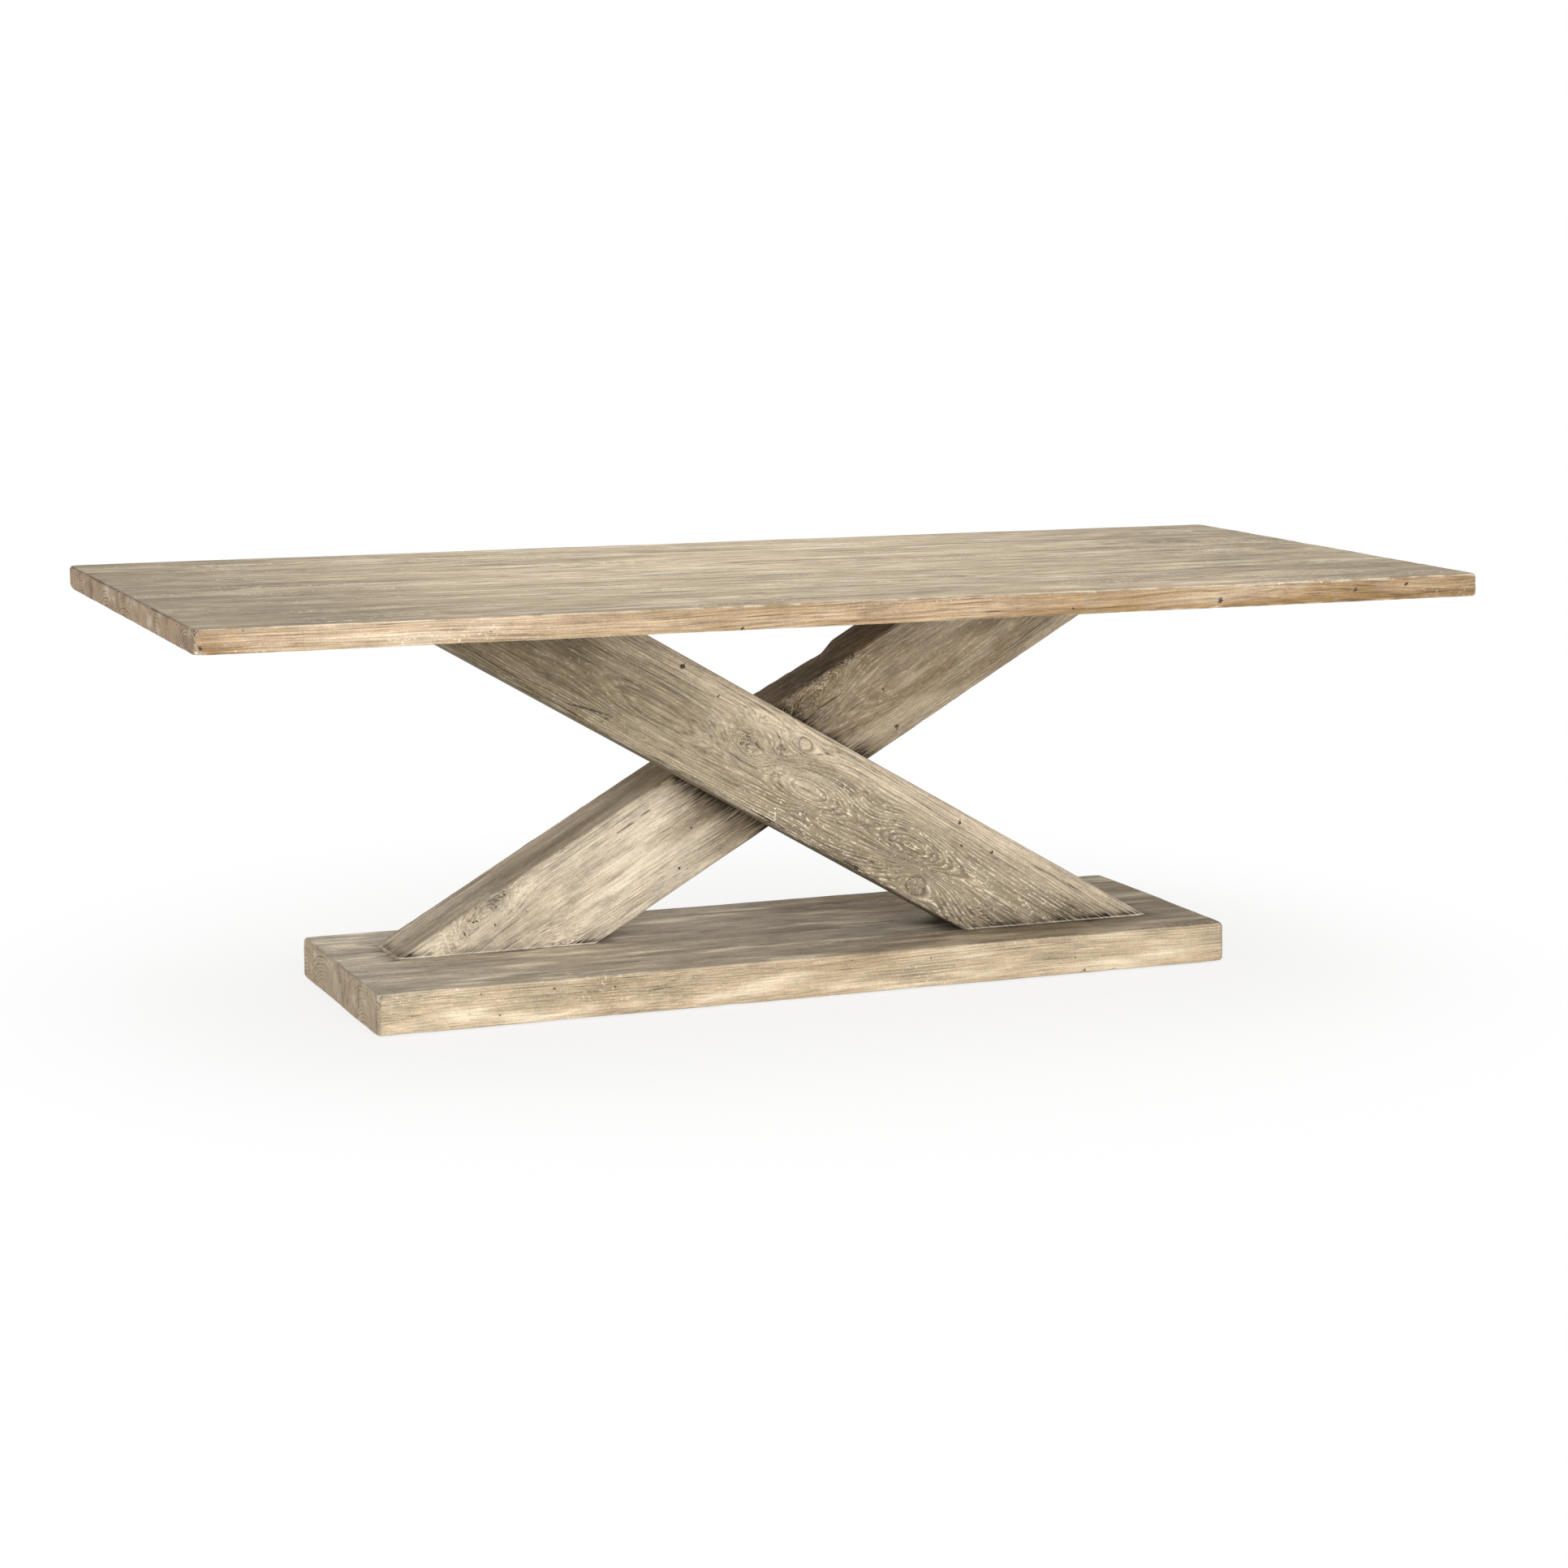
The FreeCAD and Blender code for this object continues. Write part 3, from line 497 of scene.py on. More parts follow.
# Holes: x, y, z and radius in millimetres
TOP_SPOTS = [
    (939, -525, 741, 3.8), (1046, -525, 748, 3), (659, -525, 732, 4.5), (-262, -525, 722, 2.5),
    (364, -525, 731, 1.8), (-1119, -525, 757, 2), (-919, -525, 741, 1.3), (-707, -525, 737, 1.3),
    (-1189, -525, 731, 3),
]
PLINTH_SPOTS = [
    (-512, -257, 62, 2.2), (-669, -257, 29, 1.5), (-614, -257, 22, 1.5), (-399, -257, 56, 2),
    (537, -257, 9, 3.2), (-250, -257, 60, 1.4), (60, -257, 66, 1.4), (220, -257, 58, 1.5),
]
CORNER_REACH = 14 * MM
# Seeds of the first boards and of the slabs' arrises, and the step from one board's seed to the next
TOP_SEED, PLINTH_SEED, SLAB_SEED, SEED_STEP = 11, 211, 40, 20
# Half the distance between the two rows of points that make a sharp edge
SHARP = 0.05 * MM


def union_box(nodes):
    """Lowest and highest corner of several nodes together."""
    boxes = np.array([[list(corner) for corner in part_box(node)] for node in nodes])
    return boxes[:, 0].min(axis=0), boxes[:, 1].max(axis=0)


def board_timber(node, table, seed):
    """Timber of a board from its row in a table of boards, with its main face up."""
    low, high = union_box([node])
    middle = (low[1] + high[1]) / 2
    pith, lean, knots, splits = table[node]
    knots = [knot._replace(across=knot.across - middle) for knot in knots_in_metres(knots)]
    splits = [
        split._replace(start=split.start - (0, middle), end=split.end - (0, middle))
        for split in in_metres(Split, splits)
    ]
    pith = (pith[0] * MM - middle, pith[1] * MM)
    centre = np.array([0, middle, high[2]])
    return Timber(centre, np.eye(3), high[2] - low[2], pith, lean, knots, [], splits, seed)


Trench = namedtuple("Trench", "middle wall roof neck root")
# How far a trench's closing wall stays behind the end of its batten
BEHIND = 0.5 * MM


def batten_trenches(timber, sizes):
    """The battens' trenches where they come out at the top's back edge, in a board's own directions."""
    for node in BATTENS:
        low, high = (corner - timber.centre for corner in union_box([node]))
        roof = sizes.trench_depth - timber.thick
        yield Trench((low[0] + high[0]) / 2, high[1] - BEHIND, roof, sizes.trench_neck, sizes.trench_root)


def open_trench(skin, trench):
    """Opens a dovetail trench at a board's high edge, up to the end of the batten in it.

    In the window the edge turns in to make the trench's roof and the underside turns up to make its
    end wall. With t the share of the way from a surface's near end, (edge, z) goes to
    (wall + t (edge - wall), roof) and (y, under) goes to (wall, under + t (roof - under)).
    """
    under, edge = skin.flat[:, 2].min(), skin.flat[:, 1].max()
    x, y, z = skin.flat.T
    middle = (trench.neck + trench.root) / 2
    window = (y > trench.wall) & (z < trench.roof) & (np.abs(x - trench.middle) < middle + 2 * SHARP)
    inside = window & (np.abs(x - trench.middle) < middle)
    on_edge = inside & (y > edge - SHARP)
    on_under = inside & ~on_edge
    shaped, outward = skin.shaped.copy(), skin.outward.copy()
    shaped[window] = skin.flat[window]
    share = (z - under) / (trench.roof - under)
    shaped[on_edge, 1] = (trench.wall + share * (edge - trench.wall))[on_edge]
    shaped[on_edge, 2] = trench.roof
    share = (y - trench.wall) / (edge - trench.wall)
    shaped[on_under, 1] = trench.wall
    shaped[on_under, 2] = (under + share * (trench.roof - under))[on_under]
    border = window & (np.abs(np.abs(x - trench.middle) - middle) < 2 * SHARP)
    share = (shaped[border, 2] - under) / (trench.roof - under)
    half = trench.neck + share * (trench.root - trench.neck)
    shaped[border, 0] = trench.middle + np.sign(x[border] - trench.middle) * half
    outward[window] = 0
    return skin._replace(shaped=shaped, outward=outward)


def slab_piece(node, timber, slab, arris, chips, sizes, steps, bores, trenches, painted, material):
    """One board of a slab: its own part of the rounded slab, closed by flat glued faces."""
    low, high = (corner - timber.centre for corner in union_box([node]))
    slab_low, slab_high = (corner - timber.centre for corner in slab)
    reach = 12 * MM
    fine_x = [(slab_low[0], reach, 2 * MM), (slab_high[0], reach, 2 * MM)]
    fine_y = [(slab_low[1], reach, 1.6 * MM), (slab_high[1], reach, 1.6 * MM)]
    fine_y += [(split.start[1], 3 * split.width, 0.5 * split.width) for split in timber.splits]
    fine_z = [(low[2], 7 * MM, 1.5 * MM), (high[2], 9 * MM, 1.3 * MM)]
    for trench in trenches:
        half = (trench.neck + trench.root) / 2
        fine_x += [(trench.middle + side * half, SHARP, 10 * MM) for side in (-1, 1)]
        fine_y.append((trench.wall, SHARP, MM))
        fine_z.append((trench.roof, SHARP, MM))
    flat, quads = shell(
        stations(low[0], high[0], steps[0], fine_x),
        stations(low[1], high[1], steps[1], fine_y),
        stations(low[2], high[2], steps[2], fine_z),
    )
    centres = [np.array([x, y - timber.centre[1], low[2]]) for x, y in bores]
    centres = [centre for centre in centres if low[1] < centre[1] < high[1]]
    flat, quads, discs = counterbores(flat, quads, centres, 1.4, sizes)
    radius = edge_radius(flat + timber.centre, *slab, arris, sizes.lower_arris, chips, sizes.arris_wear,
                         SLAB_SEED)
    inset = np.minimum(flat - slab_low, slab_high - flat)
    radius += sizes.corner * hump(inset[:, 0], 0, CORNER_REACH) * hump(inset[:, 1], 0, CORNER_REACH)
    shaped, outward = rounded(flat, slab_low, slab_high, radius)
    skin = Skin(flat, shaped, outward, quads, discs, broken_arris(radius, arris, outward))
    for trench in trenches:
        skin = open_trench(skin, trench)
    timber_piece(node, timber, skin, painted, sizes.undulation, slab, material)


def seam_mask(skin):
    """1 at a board's glued edges and 0 from 1.5 mm in, except on the slab's own edges."""
    across = skin.flat[:, 1]
    seam = np.minimum(across - across.min(), across.max() - across)
    return np.where(np.abs(skin.outward[:, 1]) > 0.01, 0, 1 - ease(seam, 0, 1.5 * MM))


def paint_top(timber, skin, points):
    """Masks of a top board: darker towards the ends, smudged at the right, browner at the lower edge."""
    x, y, z = points.T
    face = 0.72 - 0.7 * ease(-x, 0.5, 1.15) - 0.42 * ease(x, 0.45, 1.2) - 0.25 * ease(-y, 0.0, 0.45)
    smudge = ease(noise(points, (0.12, 0.035, 0.035), timber.seed + 17), 0.1, 0.6)
    face -= smudge * (0.08 + 0.4 * ease(x, 0.7, 1.1))
    edge = 0.48 - 0.2 * ease(x, -0.1, 1.0) + 0.6 * hump(x, -0.75, 0.32) - 0.3 * ease(-x, 1.1, 1.2)
    edge -= 0.4 * ease(-z, -740 * MM, -724 * MM)
    on_edge = np.abs(skin.outward[:, 1]) > 0.6
    arris = arris_mask(skin.outward)
    at_end = np.abs(skin.outward[:, 0]) > np.abs(skin.outward[:, 1])
    rubbed = ease(noise(points, 0.07, timber.seed + 7) + noise(points, 0.018, timber.seed + 9), -0.6, 0.6)
    return {
        "grime": 0 * x,
        "worn": np.where(at_end, 0.15, 1) * arris * rubbed,
        # A dark line along the upper arrises at the ends, drawn in the splits' colour
        "dark": np.maximum(0.3 * seam_mask(skin), arris * at_end * (z > 752 * MM) * (0.4 + 0.6 * rubbed)),
        "lime": ease(noise(skin.flat, (0.16, 0.03, 0.03), timber.seed + 8), 0.0, 0.8),
        "tone": np.where(on_edge, edge, face),
    }


# A foot's length on the plinth, with the narrow gap under its heel, where dirt and painted shade lie
FOOT_RUN = 418 * MM


def feet_outlines():
    """The low and high corners of the feet's outlines on the plinth."""
    for node, toe, back in (("front_baulk", 1, -FOOT_RUN), ("rear_baulk", 0, FOOT_RUN)):
        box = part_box(node)
        ends = sorted((box[toe][0], box[toe][0] + back))
        yield (ends[0], box[0][1]), (ends[1], box[1][1])


def paint_plinth(timber, skin, points):
    """Masks of a plinth board: painted shade and dirt round the feet, greyer towards the right, pale long
    edges.
    """
    x, y, z = points.T
    # Painted shade and dirt round the feet, darkest in the narrow gap under each heel
    near = np.zeros(len(points))
    for low, high in feet_outlines():
        outside = [np.maximum(np.maximum(low[i] - points[:, i], points[:, i] - high[i]), 0) for i in (0, 1)]
        near = np.maximum(near, 1.3 * np.exp(-np.hypot(*outside) / (20 * MM)))
    broken = 0.5 + 0.5 * noise(points, (0.05, 0.02, 0.05), timber.seed + 12)
    face = 0.95 - 0.72 * ease(x, -0.4, 0.5) - 0.15 * ease(-y, 0.12, 0.25)
    edge = 0.7 - 0.35 * hump(x, -0.42, 0.04) - 0.3 * hump(x, 0.0, 0.2)
    edge -= 0.25 * ease(-z, -25 * MM, -8 * MM) * ease(x, -0.5, 0.0)
    rubbed = ease(noise(points, 0.06, timber.seed + 7), -0.2, 0.7)
    return {
        "grime": near * broken * (z > 70 * MM),
        "worn": 0.6 * arris_mask(skin.outward) * rubbed,
        "dark": 0.25 * seam_mask(skin),
        "lime": ease(noise(skin.flat, (0.2, 0.05, 0.05), timber.seed + 8), 0.1, 0.9),
        "tone": np.where(np.abs(skin.outward[:, 1]) > 0.6, edge, face),
    }


# ---------------------------------------------------------------- baulks

# In millimetres from the crossing: along towards the head and across towards the upper face
FRONT_BAULK_KNOTS = [
    (20, 63, 13, 0.3), (128, 16, 10, 4), (112, 2, 9, 4), (54, 34, 8, 4), (42, 28, 6, 4), (118, 66, 6, 3),
    (-317, -69, 20, 0.6), (-40, -52, 6, 3),
    (60, -30, 14, 1, -1), (-300, 20, 17, 2, -1),
]
FRONT_BAULK_EYES = [
    (-32, -6, 75, 32, 20), (-277, -10, 80, 36, 22), (300, -20, 120, 40, 16), (-170, 30, 50, 26, -8),
]
FRONT_BAULK_SPLITS = [
    ((383, -62), (468, -80), 1.4, 3), ((383, -62), (398, -86), 1.2, 3), ((-470, -86), (-440, -50), 1.2, 3),
    ((-20, -93), (40, -90), 1.8, 4), ((-205, -93), (-160, -91), 1.8, 4), ((-500, -60), (-455, -48), 1.2, 3),
]
FRONT_BAULK_CHIPS = [
    ((0, -97, 0), 16, 6), ((-190, -97, 0), 18, 6), ((260, -97, 0), 12, 4), ((420, 97, 0), 20, 3),
    ((-60, 97, 0), 40, 2), ((-380, -97, 0), 14, 4), ((130, -97, 0), 30, 3),
]
FRONT_BAULK_SPOTS = [
    (-225, -140, 607, 4.5), (-156, -140, 550, 2.2), (330, -140, 286, 2.6), (334, -140, 241, 2.4),
    (397, -140, 224, 3.2),
]
REAR_BAULK_KNOTS = [
    (-602, 84, 11, 5), (-580, 78, 8, 5), (-628, 74, 9, 3), (-655, 60, 8, 3), (-684, 52, 6, 2),
    (-548, -40, 9, 3), (-530, -62, 8, 4), (-566, -66, 7, 4), (92, 60, 10, 4), (116, 72, 9, 4),
    (140, 62, 8, 4), (164, 76, 10, 4), (190, 84, 8, 4),
    (0, 20, 15, 1, -1), (-420, 30, 18, 2, -1), (380, -30, 12, 3, -1),
]
REAR_BAULK_EYES = [(-420, -20, 200, 34, 7), (330, -10, 130, 34, 8)]
REAR_BAULK_SPLITS = [
    ((-640, -40), (-560, -44), 1.2, 3), ((-330, 60), (-230, 64), 1.0, 2), ((90, 40), (190, 44), 1.3, 3),
]
REAR_BAULK_CHIPS = [
    ((-600, 97, 0), 22, 6), ((-200, 97, 0), 18, 4), ((100, 97, 0), 26, 8), ((160, 97, 0), 20, 9),
    ((230, 97, 0), 26, 7), ((-420, 97, 0), 14, 3), ((310, -97, 0), 14, 4),
]
REAR_BAULK_SPOTS = [
    (-181, 0, 208, 2.4), (-157, 0, 284, 1.8), (-541, 0, 129, 2.2), (-480, 0, 149, 1.6),
    (232, 0, 524, 2.6), (261, 0, 452, 3.6), (273, 0, 436, 2),
]
# Missing corner of the rear baulk's upper back arris: along, drop and reach forward
BACK_WANE = np.array([(-69, 1.3, 4), (46, 3.5, 18), (150, 7, 36), (237, 11.3, 54), (272, 1.3, 4)]) * MM
# A baulk's rounded section ends this far away, well past the level cuts at its foot and head
ENDLESS = 9.0


def baulk_timber(side, sizes, knots, eyes, splits, pith, lean, seed):
    """Timber of a baulk. Its main face looks forward, and it rises along its own first direction."""
    slope = sizes.baulk_slope
    along = (side * math.cos(slope), 0, math.sin(slope))
    across = (-side * math.sin(slope), 0, math.cos(slope))
    low, high = union_box(["front_baulk" if side < 0 else "rear_baulk"])
    centre = np.array([0, low[1], sizes.crossing_height])
    axes = np.array([along, across, -Y])
    return Timber(centre, axes, high[1] - low[1], pith, lean, knots_in_metres(knots),
                  in_metres(Eye, eyes), in_metres(Split, splits), seed)


def cut_wane(shaped, rows, roughness, seed):
    """Takes a missing corner off the upper back arris, where rows give its drop and reach forward.

    In the section, points beyond the line from (top, back + reach) to (top - drop, back) go back
    onto it along its normal. Returns the points and a mask of the bared wood.
    """
    drop, reach = (np.interp(shaped[:, 0], rows[:, 0], rows[:, i]) for i in (1, 2))
    top, back = shaped[:, 1].max(), shaped[:, 2].min()
    normal = np.stack([reach, -drop], axis=1) / np.hypot(reach, drop)[:, None]
    start = np.stack([np.full(len(shaped), top), back + reach], axis=1)
    beyond = ((shaped[:, 1:] - start) * normal).sum(axis=1)
    beyond = np.where(beyond > 0, beyond + roughness * (0.6 + noise(shaped, 0.014, seed)), 0)
    moved = shaped.copy()
    moved[:, 1:] -= normal * beyond[:, None]
    return moved, ease(beyond, 0, 2 * MM)


def baulk_piece(node, timber, sizes, chips, wane, bores, painted, material):
    """A baulk: a rounded section carried up the slope between level cuts at foot and head.

    A lattice point (t, v, w) lies at centre + (s(v) + t) along + v across + w out, where s(v) brings
    t = 0 to the level of the foot: s = (z_foot - z_centre - v across_z) / along_z.
    """
    low, high = union_box([node])
    half = sizes.baulk_width / 2
    (_, _, along_z), (_, _, across_z), _ = timber.axes
    run = (high[2] - low[2]) / along_z
    reach = 9 * MM
    flat, quads = shell(
        stations(0, run, 4.2 * MM, [(0, 14 * MM, 1.6 * MM)]),
        stations(-half, half, 2.6 * MM, [(-half, reach, 1.5 * MM), (half, reach, 1.5 * MM)]),
        stations(-timber.thick, 0, 5 * MM, [(-timber.thick, reach, 1.6 * MM), (0, reach, 1.6 * MM)]),
    )
    flat[:, 0] += (low[2] - timber.centre[2] - flat[:, 1] * across_z) / along_z
    centres = [np.array([along, across, -timber.thick]) for along, across in bores]
    flat, quads, discs = counterbores(flat, quads, centres, 1.5, sizes)
    ends = np.array([-ENDLESS, -half, -timber.thick]), np.array([ENDLESS, half, 0])
    arrises = (sizes.baulk_arris, sizes.lower_arris)
    if timber.centre[1] >= 0:
        arrises = arrises[::-1]
    radius = edge_radius(flat, *ends, *arrises, chips, sizes.arris_wear, timber.seed)
    shaped, outward = rounded(flat, *ends, radius)
    broken = broken_arris(radius, sizes.baulk_arris, outward)
    if wane is not None:
        shaped, bared = cut_wane(shaped, wane, 1.5 * MM, timber.seed + 9)
        broken = np.maximum(broken, 0.8 * bared)
    skin = Skin(flat, shaped, outward, quads, discs, broken)
    timber_piece(node, timber, skin, painted, sizes.undulation, (low, high), material)


def paint_baulk(timber, skin, points, tone, lime, grime):
    """Masks that the baulks share: dirt and painted shade at the foot, painted shadow of the top at the
    head, a pale bead round the foot, rubbed arrises.
    """
    foot, head = points[:, 2].min(), points[:, 2].max()
    height = points[:, 2] - foot
    broken = 0.5 + 0.3 * noise(points, 0.07, timber.seed + 12) + 0.2 * noise(points, 0.018, timber.seed + 15)
    # Dirt and painted shade where the foot meets the plinth
    at_foot = broken * hump(height, 5 * MM, 6 * MM) + 1.3 * broken ** 2 * np.exp(-height / (25 * MM))
    # Painted shadow of the top over the head
    at_head = 0.6 * np.exp(-(head - points[:, 2]) / (50 * MM))
    bead = 0.9 * (height < 3 * MM) * broken * np.clip(skin.outward[:, 2], 0, 1)
    rubbed = noise(skin.flat, 0.06, timber.seed + 7) + noise(skin.flat, 0.015, timber.seed + 10)
    worn = np.maximum(0.8 * arris_mask(skin.outward) * ease(rubbed, -0.4, 0.8), bead)
    grime = np.maximum(np.maximum(at_foot * (height > 3 * MM), at_head), grime)
    return {"grime": grime, "worn": worn, "dark": 0 * height, "lime": lime, "tone": tone}


def paint_front_baulk(timber, skin, points):
    """Masks of the front baulk: a paler upper strip, darker towards the head, painted shade on the downward
    underside, lime in the open grain.
    """
    along, across, _ = skin.flat.T
    under = np.clip(-skin.outward[:, 1], 0, 1)
    tone = 0.4 + 0.7 * ease(across, 0.035, 0.08) - 0.4 * ease(along, 0.15, 0.55)
    # Painted shade: the underside, which faces down, gets a lower tone here and a share of the dark grime
    # layer below
    tone += 0.2 * noise(skin.flat, (0.25, 0.06, 0.06), timber.seed + 13) - 0.3 * under
    tone -= 0.2 * ease(-along, 0.2, 0.4) * ease(-across, -0.04, 0.02)
    lime = ease(along, 0.3, 0.05) * ease(across, 0.06, 0.02) + 0.35
    lime *= 0.55 + 0.45 * noise(skin.flat, (0.12, 0.05, 0.05), timber.seed + 8)
    return paint_baulk(timber, skin, points, tone, np.clip(lime, 0, 1), 0.45 * under)


def paint_rear_baulk(timber, skin, points):
    """Masks of the rear baulk: paler towards the foot, darker above, dirt and painted shade beside the front
    baulk, painted shade on the upper face under the top, and dirt near the foot.

    The distance from the front baulk is how far |x sin a + (z - z_crossing) cos a| is past its half,
    and more of the dirt and painted shade lies above it than below.
    """
    along, across, _ = skin.flat.T
    facing = np.clip(skin.outward[:, 2], 0, 1)
    upper = np.clip(skin.outward[:, 1], 0, 1)
    beside = points[:, 0] * timber.axes[0, 2] + (points[:, 2] - timber.centre[2]) * timber.axes[1, 2]
    gap = np.maximum(np.abs(beside) - np.abs(across).max(), 0)
    heavy = np.where(beside > 0, 3.2, 1.5)
    broken = 0.65 + 0.35 * noise(skin.flat, (0.02, 0.05, 0.05), timber.seed + 14)
    # Painted shade: the upper face, under the top, gets a lower tone
    tone = 1.05 - 0.8 * ease(along, -0.3, -0.12) + 0.2 * ease(along, 0.05, 0.35) - 0.5 * upper
    tone += 0.35 * noise(skin.flat, (0.25, 0.05, 0.05), timber.seed + 13)
    # Dirt and painted shade in a band beside the front baulk
    grime = facing * broken * (heavy * np.exp(-gap / (17 * MM)) + 0.4 * np.exp(-gap / (60 * MM)))
    # Painted shade on the upper face, deeper towards the head under the top
    grime = np.maximum(grime, upper * (0.27 + 0.73 * ease(along, -0.05, 0.15)) * (0.6 + 0.4 * broken))
    smudge = 0.8 * hump(along, -0.57, 0.024) * hump(across, 0.088, 0.016)
    smudge += 0.4 * hump(along, -0.43, 0.12) * hump(across, 0.087, 0.009)
    grime = np.maximum(grime, facing * smudge * (0.5 + 0.7 * broken))
    lime = 0.3 + 0.6 * hump(along, 0.13, 0.1) * ease(across, 0.0, 0.05) + 0.4 * hump(along, -0.6, 0.08)
    return paint_baulk(timber, skin, points, tone, lime, grime)


# ---------------------------------------------------------------- materials

# Input sockets of the Mix node when it mixes colours, and its output and setting
FACTOR, FIRST, SECOND = 0, 6, 7
COLOUR_MIX = {"take": 2, "data_type": "RGBA"}


def add(tree, kind, inputs, take=0, **settings):
    """Adds a node with its settings, sets or links its inputs, and returns one of its outputs."""
    node = tree.nodes.new(kind)
    for name, setting in settings.items():
        setattr(node, name, setting)
    for name, given in inputs.items():
        if isinstance(given, bpy.types.NodeSocket):
            tree.links.new(given, node.inputs[name])
        else:
            node.inputs[name].default_value = given
    return node.outputs[take]


def rgba(given):
    """Colour with full alpha."""
    return (*given, 1)


def new_material(name):
    """Empty node material. Returns it and its tree, with only the output node."""
    material = bpy.data.materials.new(name)
    material.use_nodes = True
    material.node_tree.nodes.clear()
    material.node_tree.nodes.new("ShaderNodeOutputMaterial")
    return material, material.node_tree


def finish_material(tree, surface):
    """Links a shader to the material's output."""
    tree.links.new(surface, tree.nodes["Material Output"].inputs["Surface"])


# The look of a pine: its colours, the width of a ring, how much the rings, dirt, wash and lime cover,
# how much the streaks and smears darken and lighten it, the depth of its bump, how much coarser the
# grain is on the face and finer on a slab's edges, and its holes
Look = namedtuple("Look", "deep pale edge_deep edge_pale end ring rings dirt wash lime streaks smears "
                          "relief coarse fine spots")

# Noises drawn out along the grain: cell along it, cell across it and detail. Fibres are finer than
# 1 mm, and are drawn 1.7 mm wide so that they show.
BROAD_NOISES = {
    "cloud": (420 * MM, 75 * MM, 3),
    "smear": (190 * MM, 34 * MM, 2),
}
FINE_NOISES = {
    "streak": (330 * MM, 4.5 * MM, 4),
    "fibre": (70 * MM, 1.7 * MM, 3),
    "fleck": (14 * MM, 2.3 * MM, 1),
}
# Noises that are alike in every direction: cell, detail and distortion
ROUGH_NOISES = {
    "grit": (6 * MM, 1, 0),
    "crumb": (7 * MM, 2, 1.5),
    "pore": (4 * MM, 4, 0.5),
    "mottle": (38 * MM, 4, 0.6),
}
# Masks cut from a value: the value, and its levels where the mask is 0 and 1
GRAIN_MASKS = {
    "dirt": ("streak", 0.45, 0.3),
    "wash": ("smear", 0.52, 0.68),
    "check": ("fibre", 0.4, 0.28),
    "lime": ("fleck", 0.5, 0.58),
    "rise": ("within", 0.4, 0.85),
    "fall": ("within", 1.0, 0.92),
    "open": ("within", 0.0, 0.12),
    "shut": ("within", 0.5, 0.25),
    "heart": ("knot", 0.36, 0.44),
    "rim": ("rim_gap", 0.09, 0.02),
    "turn": ("knot_turn", 0.2, 0.5),
    "hole": ("pin", 0.05, 0.02),
    "speck": ("grit", 0.66, 0.72),
    "crevice": ("crumb", 0.41, 0.34),
    "fringe": ("crumb", 0.52, 0.6),
    "scratch": ("scrape", 0.7, 0.76),
    "patch": ("mottle", 0.52, 0.68),
    "end_dark": ("mottle", 0.46, 0.34),
    "end_pale": ("mottle", 0.54, 0.66),
    "knot_pale": ("knot_turn", 0.2, 0.0),
}
# Masks that are products of others
JOINED_MASKS = {
    "late": ("rise", "fall", "strength", "clear", "bold", "trunk"),
    "limed": ("open", "shut", "lime", "limed_zone"),
    "check": ("check", "dirt"),
    "end_dark": ("end_dark", "end"),
    "end_pale": ("end_pale", "end"),
    "wash": ("wash", "pale"),
    "knot_ring": ("heart", "turn"),
    "knot_pale": ("heart", "knot_pale"),
    "rim": ("rim", "crumb"),
    "hole": ("hole", "picked"),
    "crevice": ("crevice", "torn"),
    "fringe": ("fringe", "torn"),
    "speck": ("speck", "limed_zone"),
    "scratch": ("scratch", "limed_zone"),
    "grime": ("dirty", "patchy"),
}
# What a timber's points carry in the red, green, blue and alpha of two of their attributes
CARRIED = {
    # The alpha of zones is dirt together with painted shade
    "zones": ("edge", "end", "worn", "dirty"),
    # The second mark holds the splits, the dark seams and a dark line along the top's end arrises
    "marks": ("sound_knot", "split", "limed_zone", "torn"),
}
# By how many rings each noise bends the rings over its whole range
RING_BENDS = {"cloud": 1.2, "smear": 0.6}
# Rings on end grain are drawn this much wider than they are, so that they show
END_RINGS = 1.5
KNOT_TURNS = 9
# Pin holes: the size of their cells, and the share of the cells that have none
PIN_CELL = 40 * MM
PIN_EMPTY = 0.75
# Scrapes: their length, width and depth, and how they are turned
SCRAPE = (40 * MM, 2 * MM, 2 * MM)
SCRAPE_TURN = (0.9, 0.4, 0.9)


def carried_values(tree):
    """The tone, zones and marks that a timber's points carry."""
    values = {"tone": add(tree, "ShaderNodeAttribute", {}, "Fac", attribute_name="tone")}
    for field, names in CARRIED.items():
        carried = add(tree, "ShaderNodeAttribute", {}, "Color", attribute_name=field)
        parts = add(tree, "ShaderNodeSeparateColor", {"Color": carried}).node.outputs
        values |= zip(names, (*parts, carried.node.outputs["Alpha"]))
    return values


def grain_noise(tree, place, along, across, detail):
    """Noise drawn out along the grain."""
    stretch = (1 / along, 1 / across, 1 / across)
    drawn = add(tree, "ShaderNodeVectorMath", {0: place, 1: stretch}, operation="MULTIPLY")
    return add(tree, "ShaderNodeTexNoise", {"Vector": drawn, "Scale": 1, "Detail": detail})


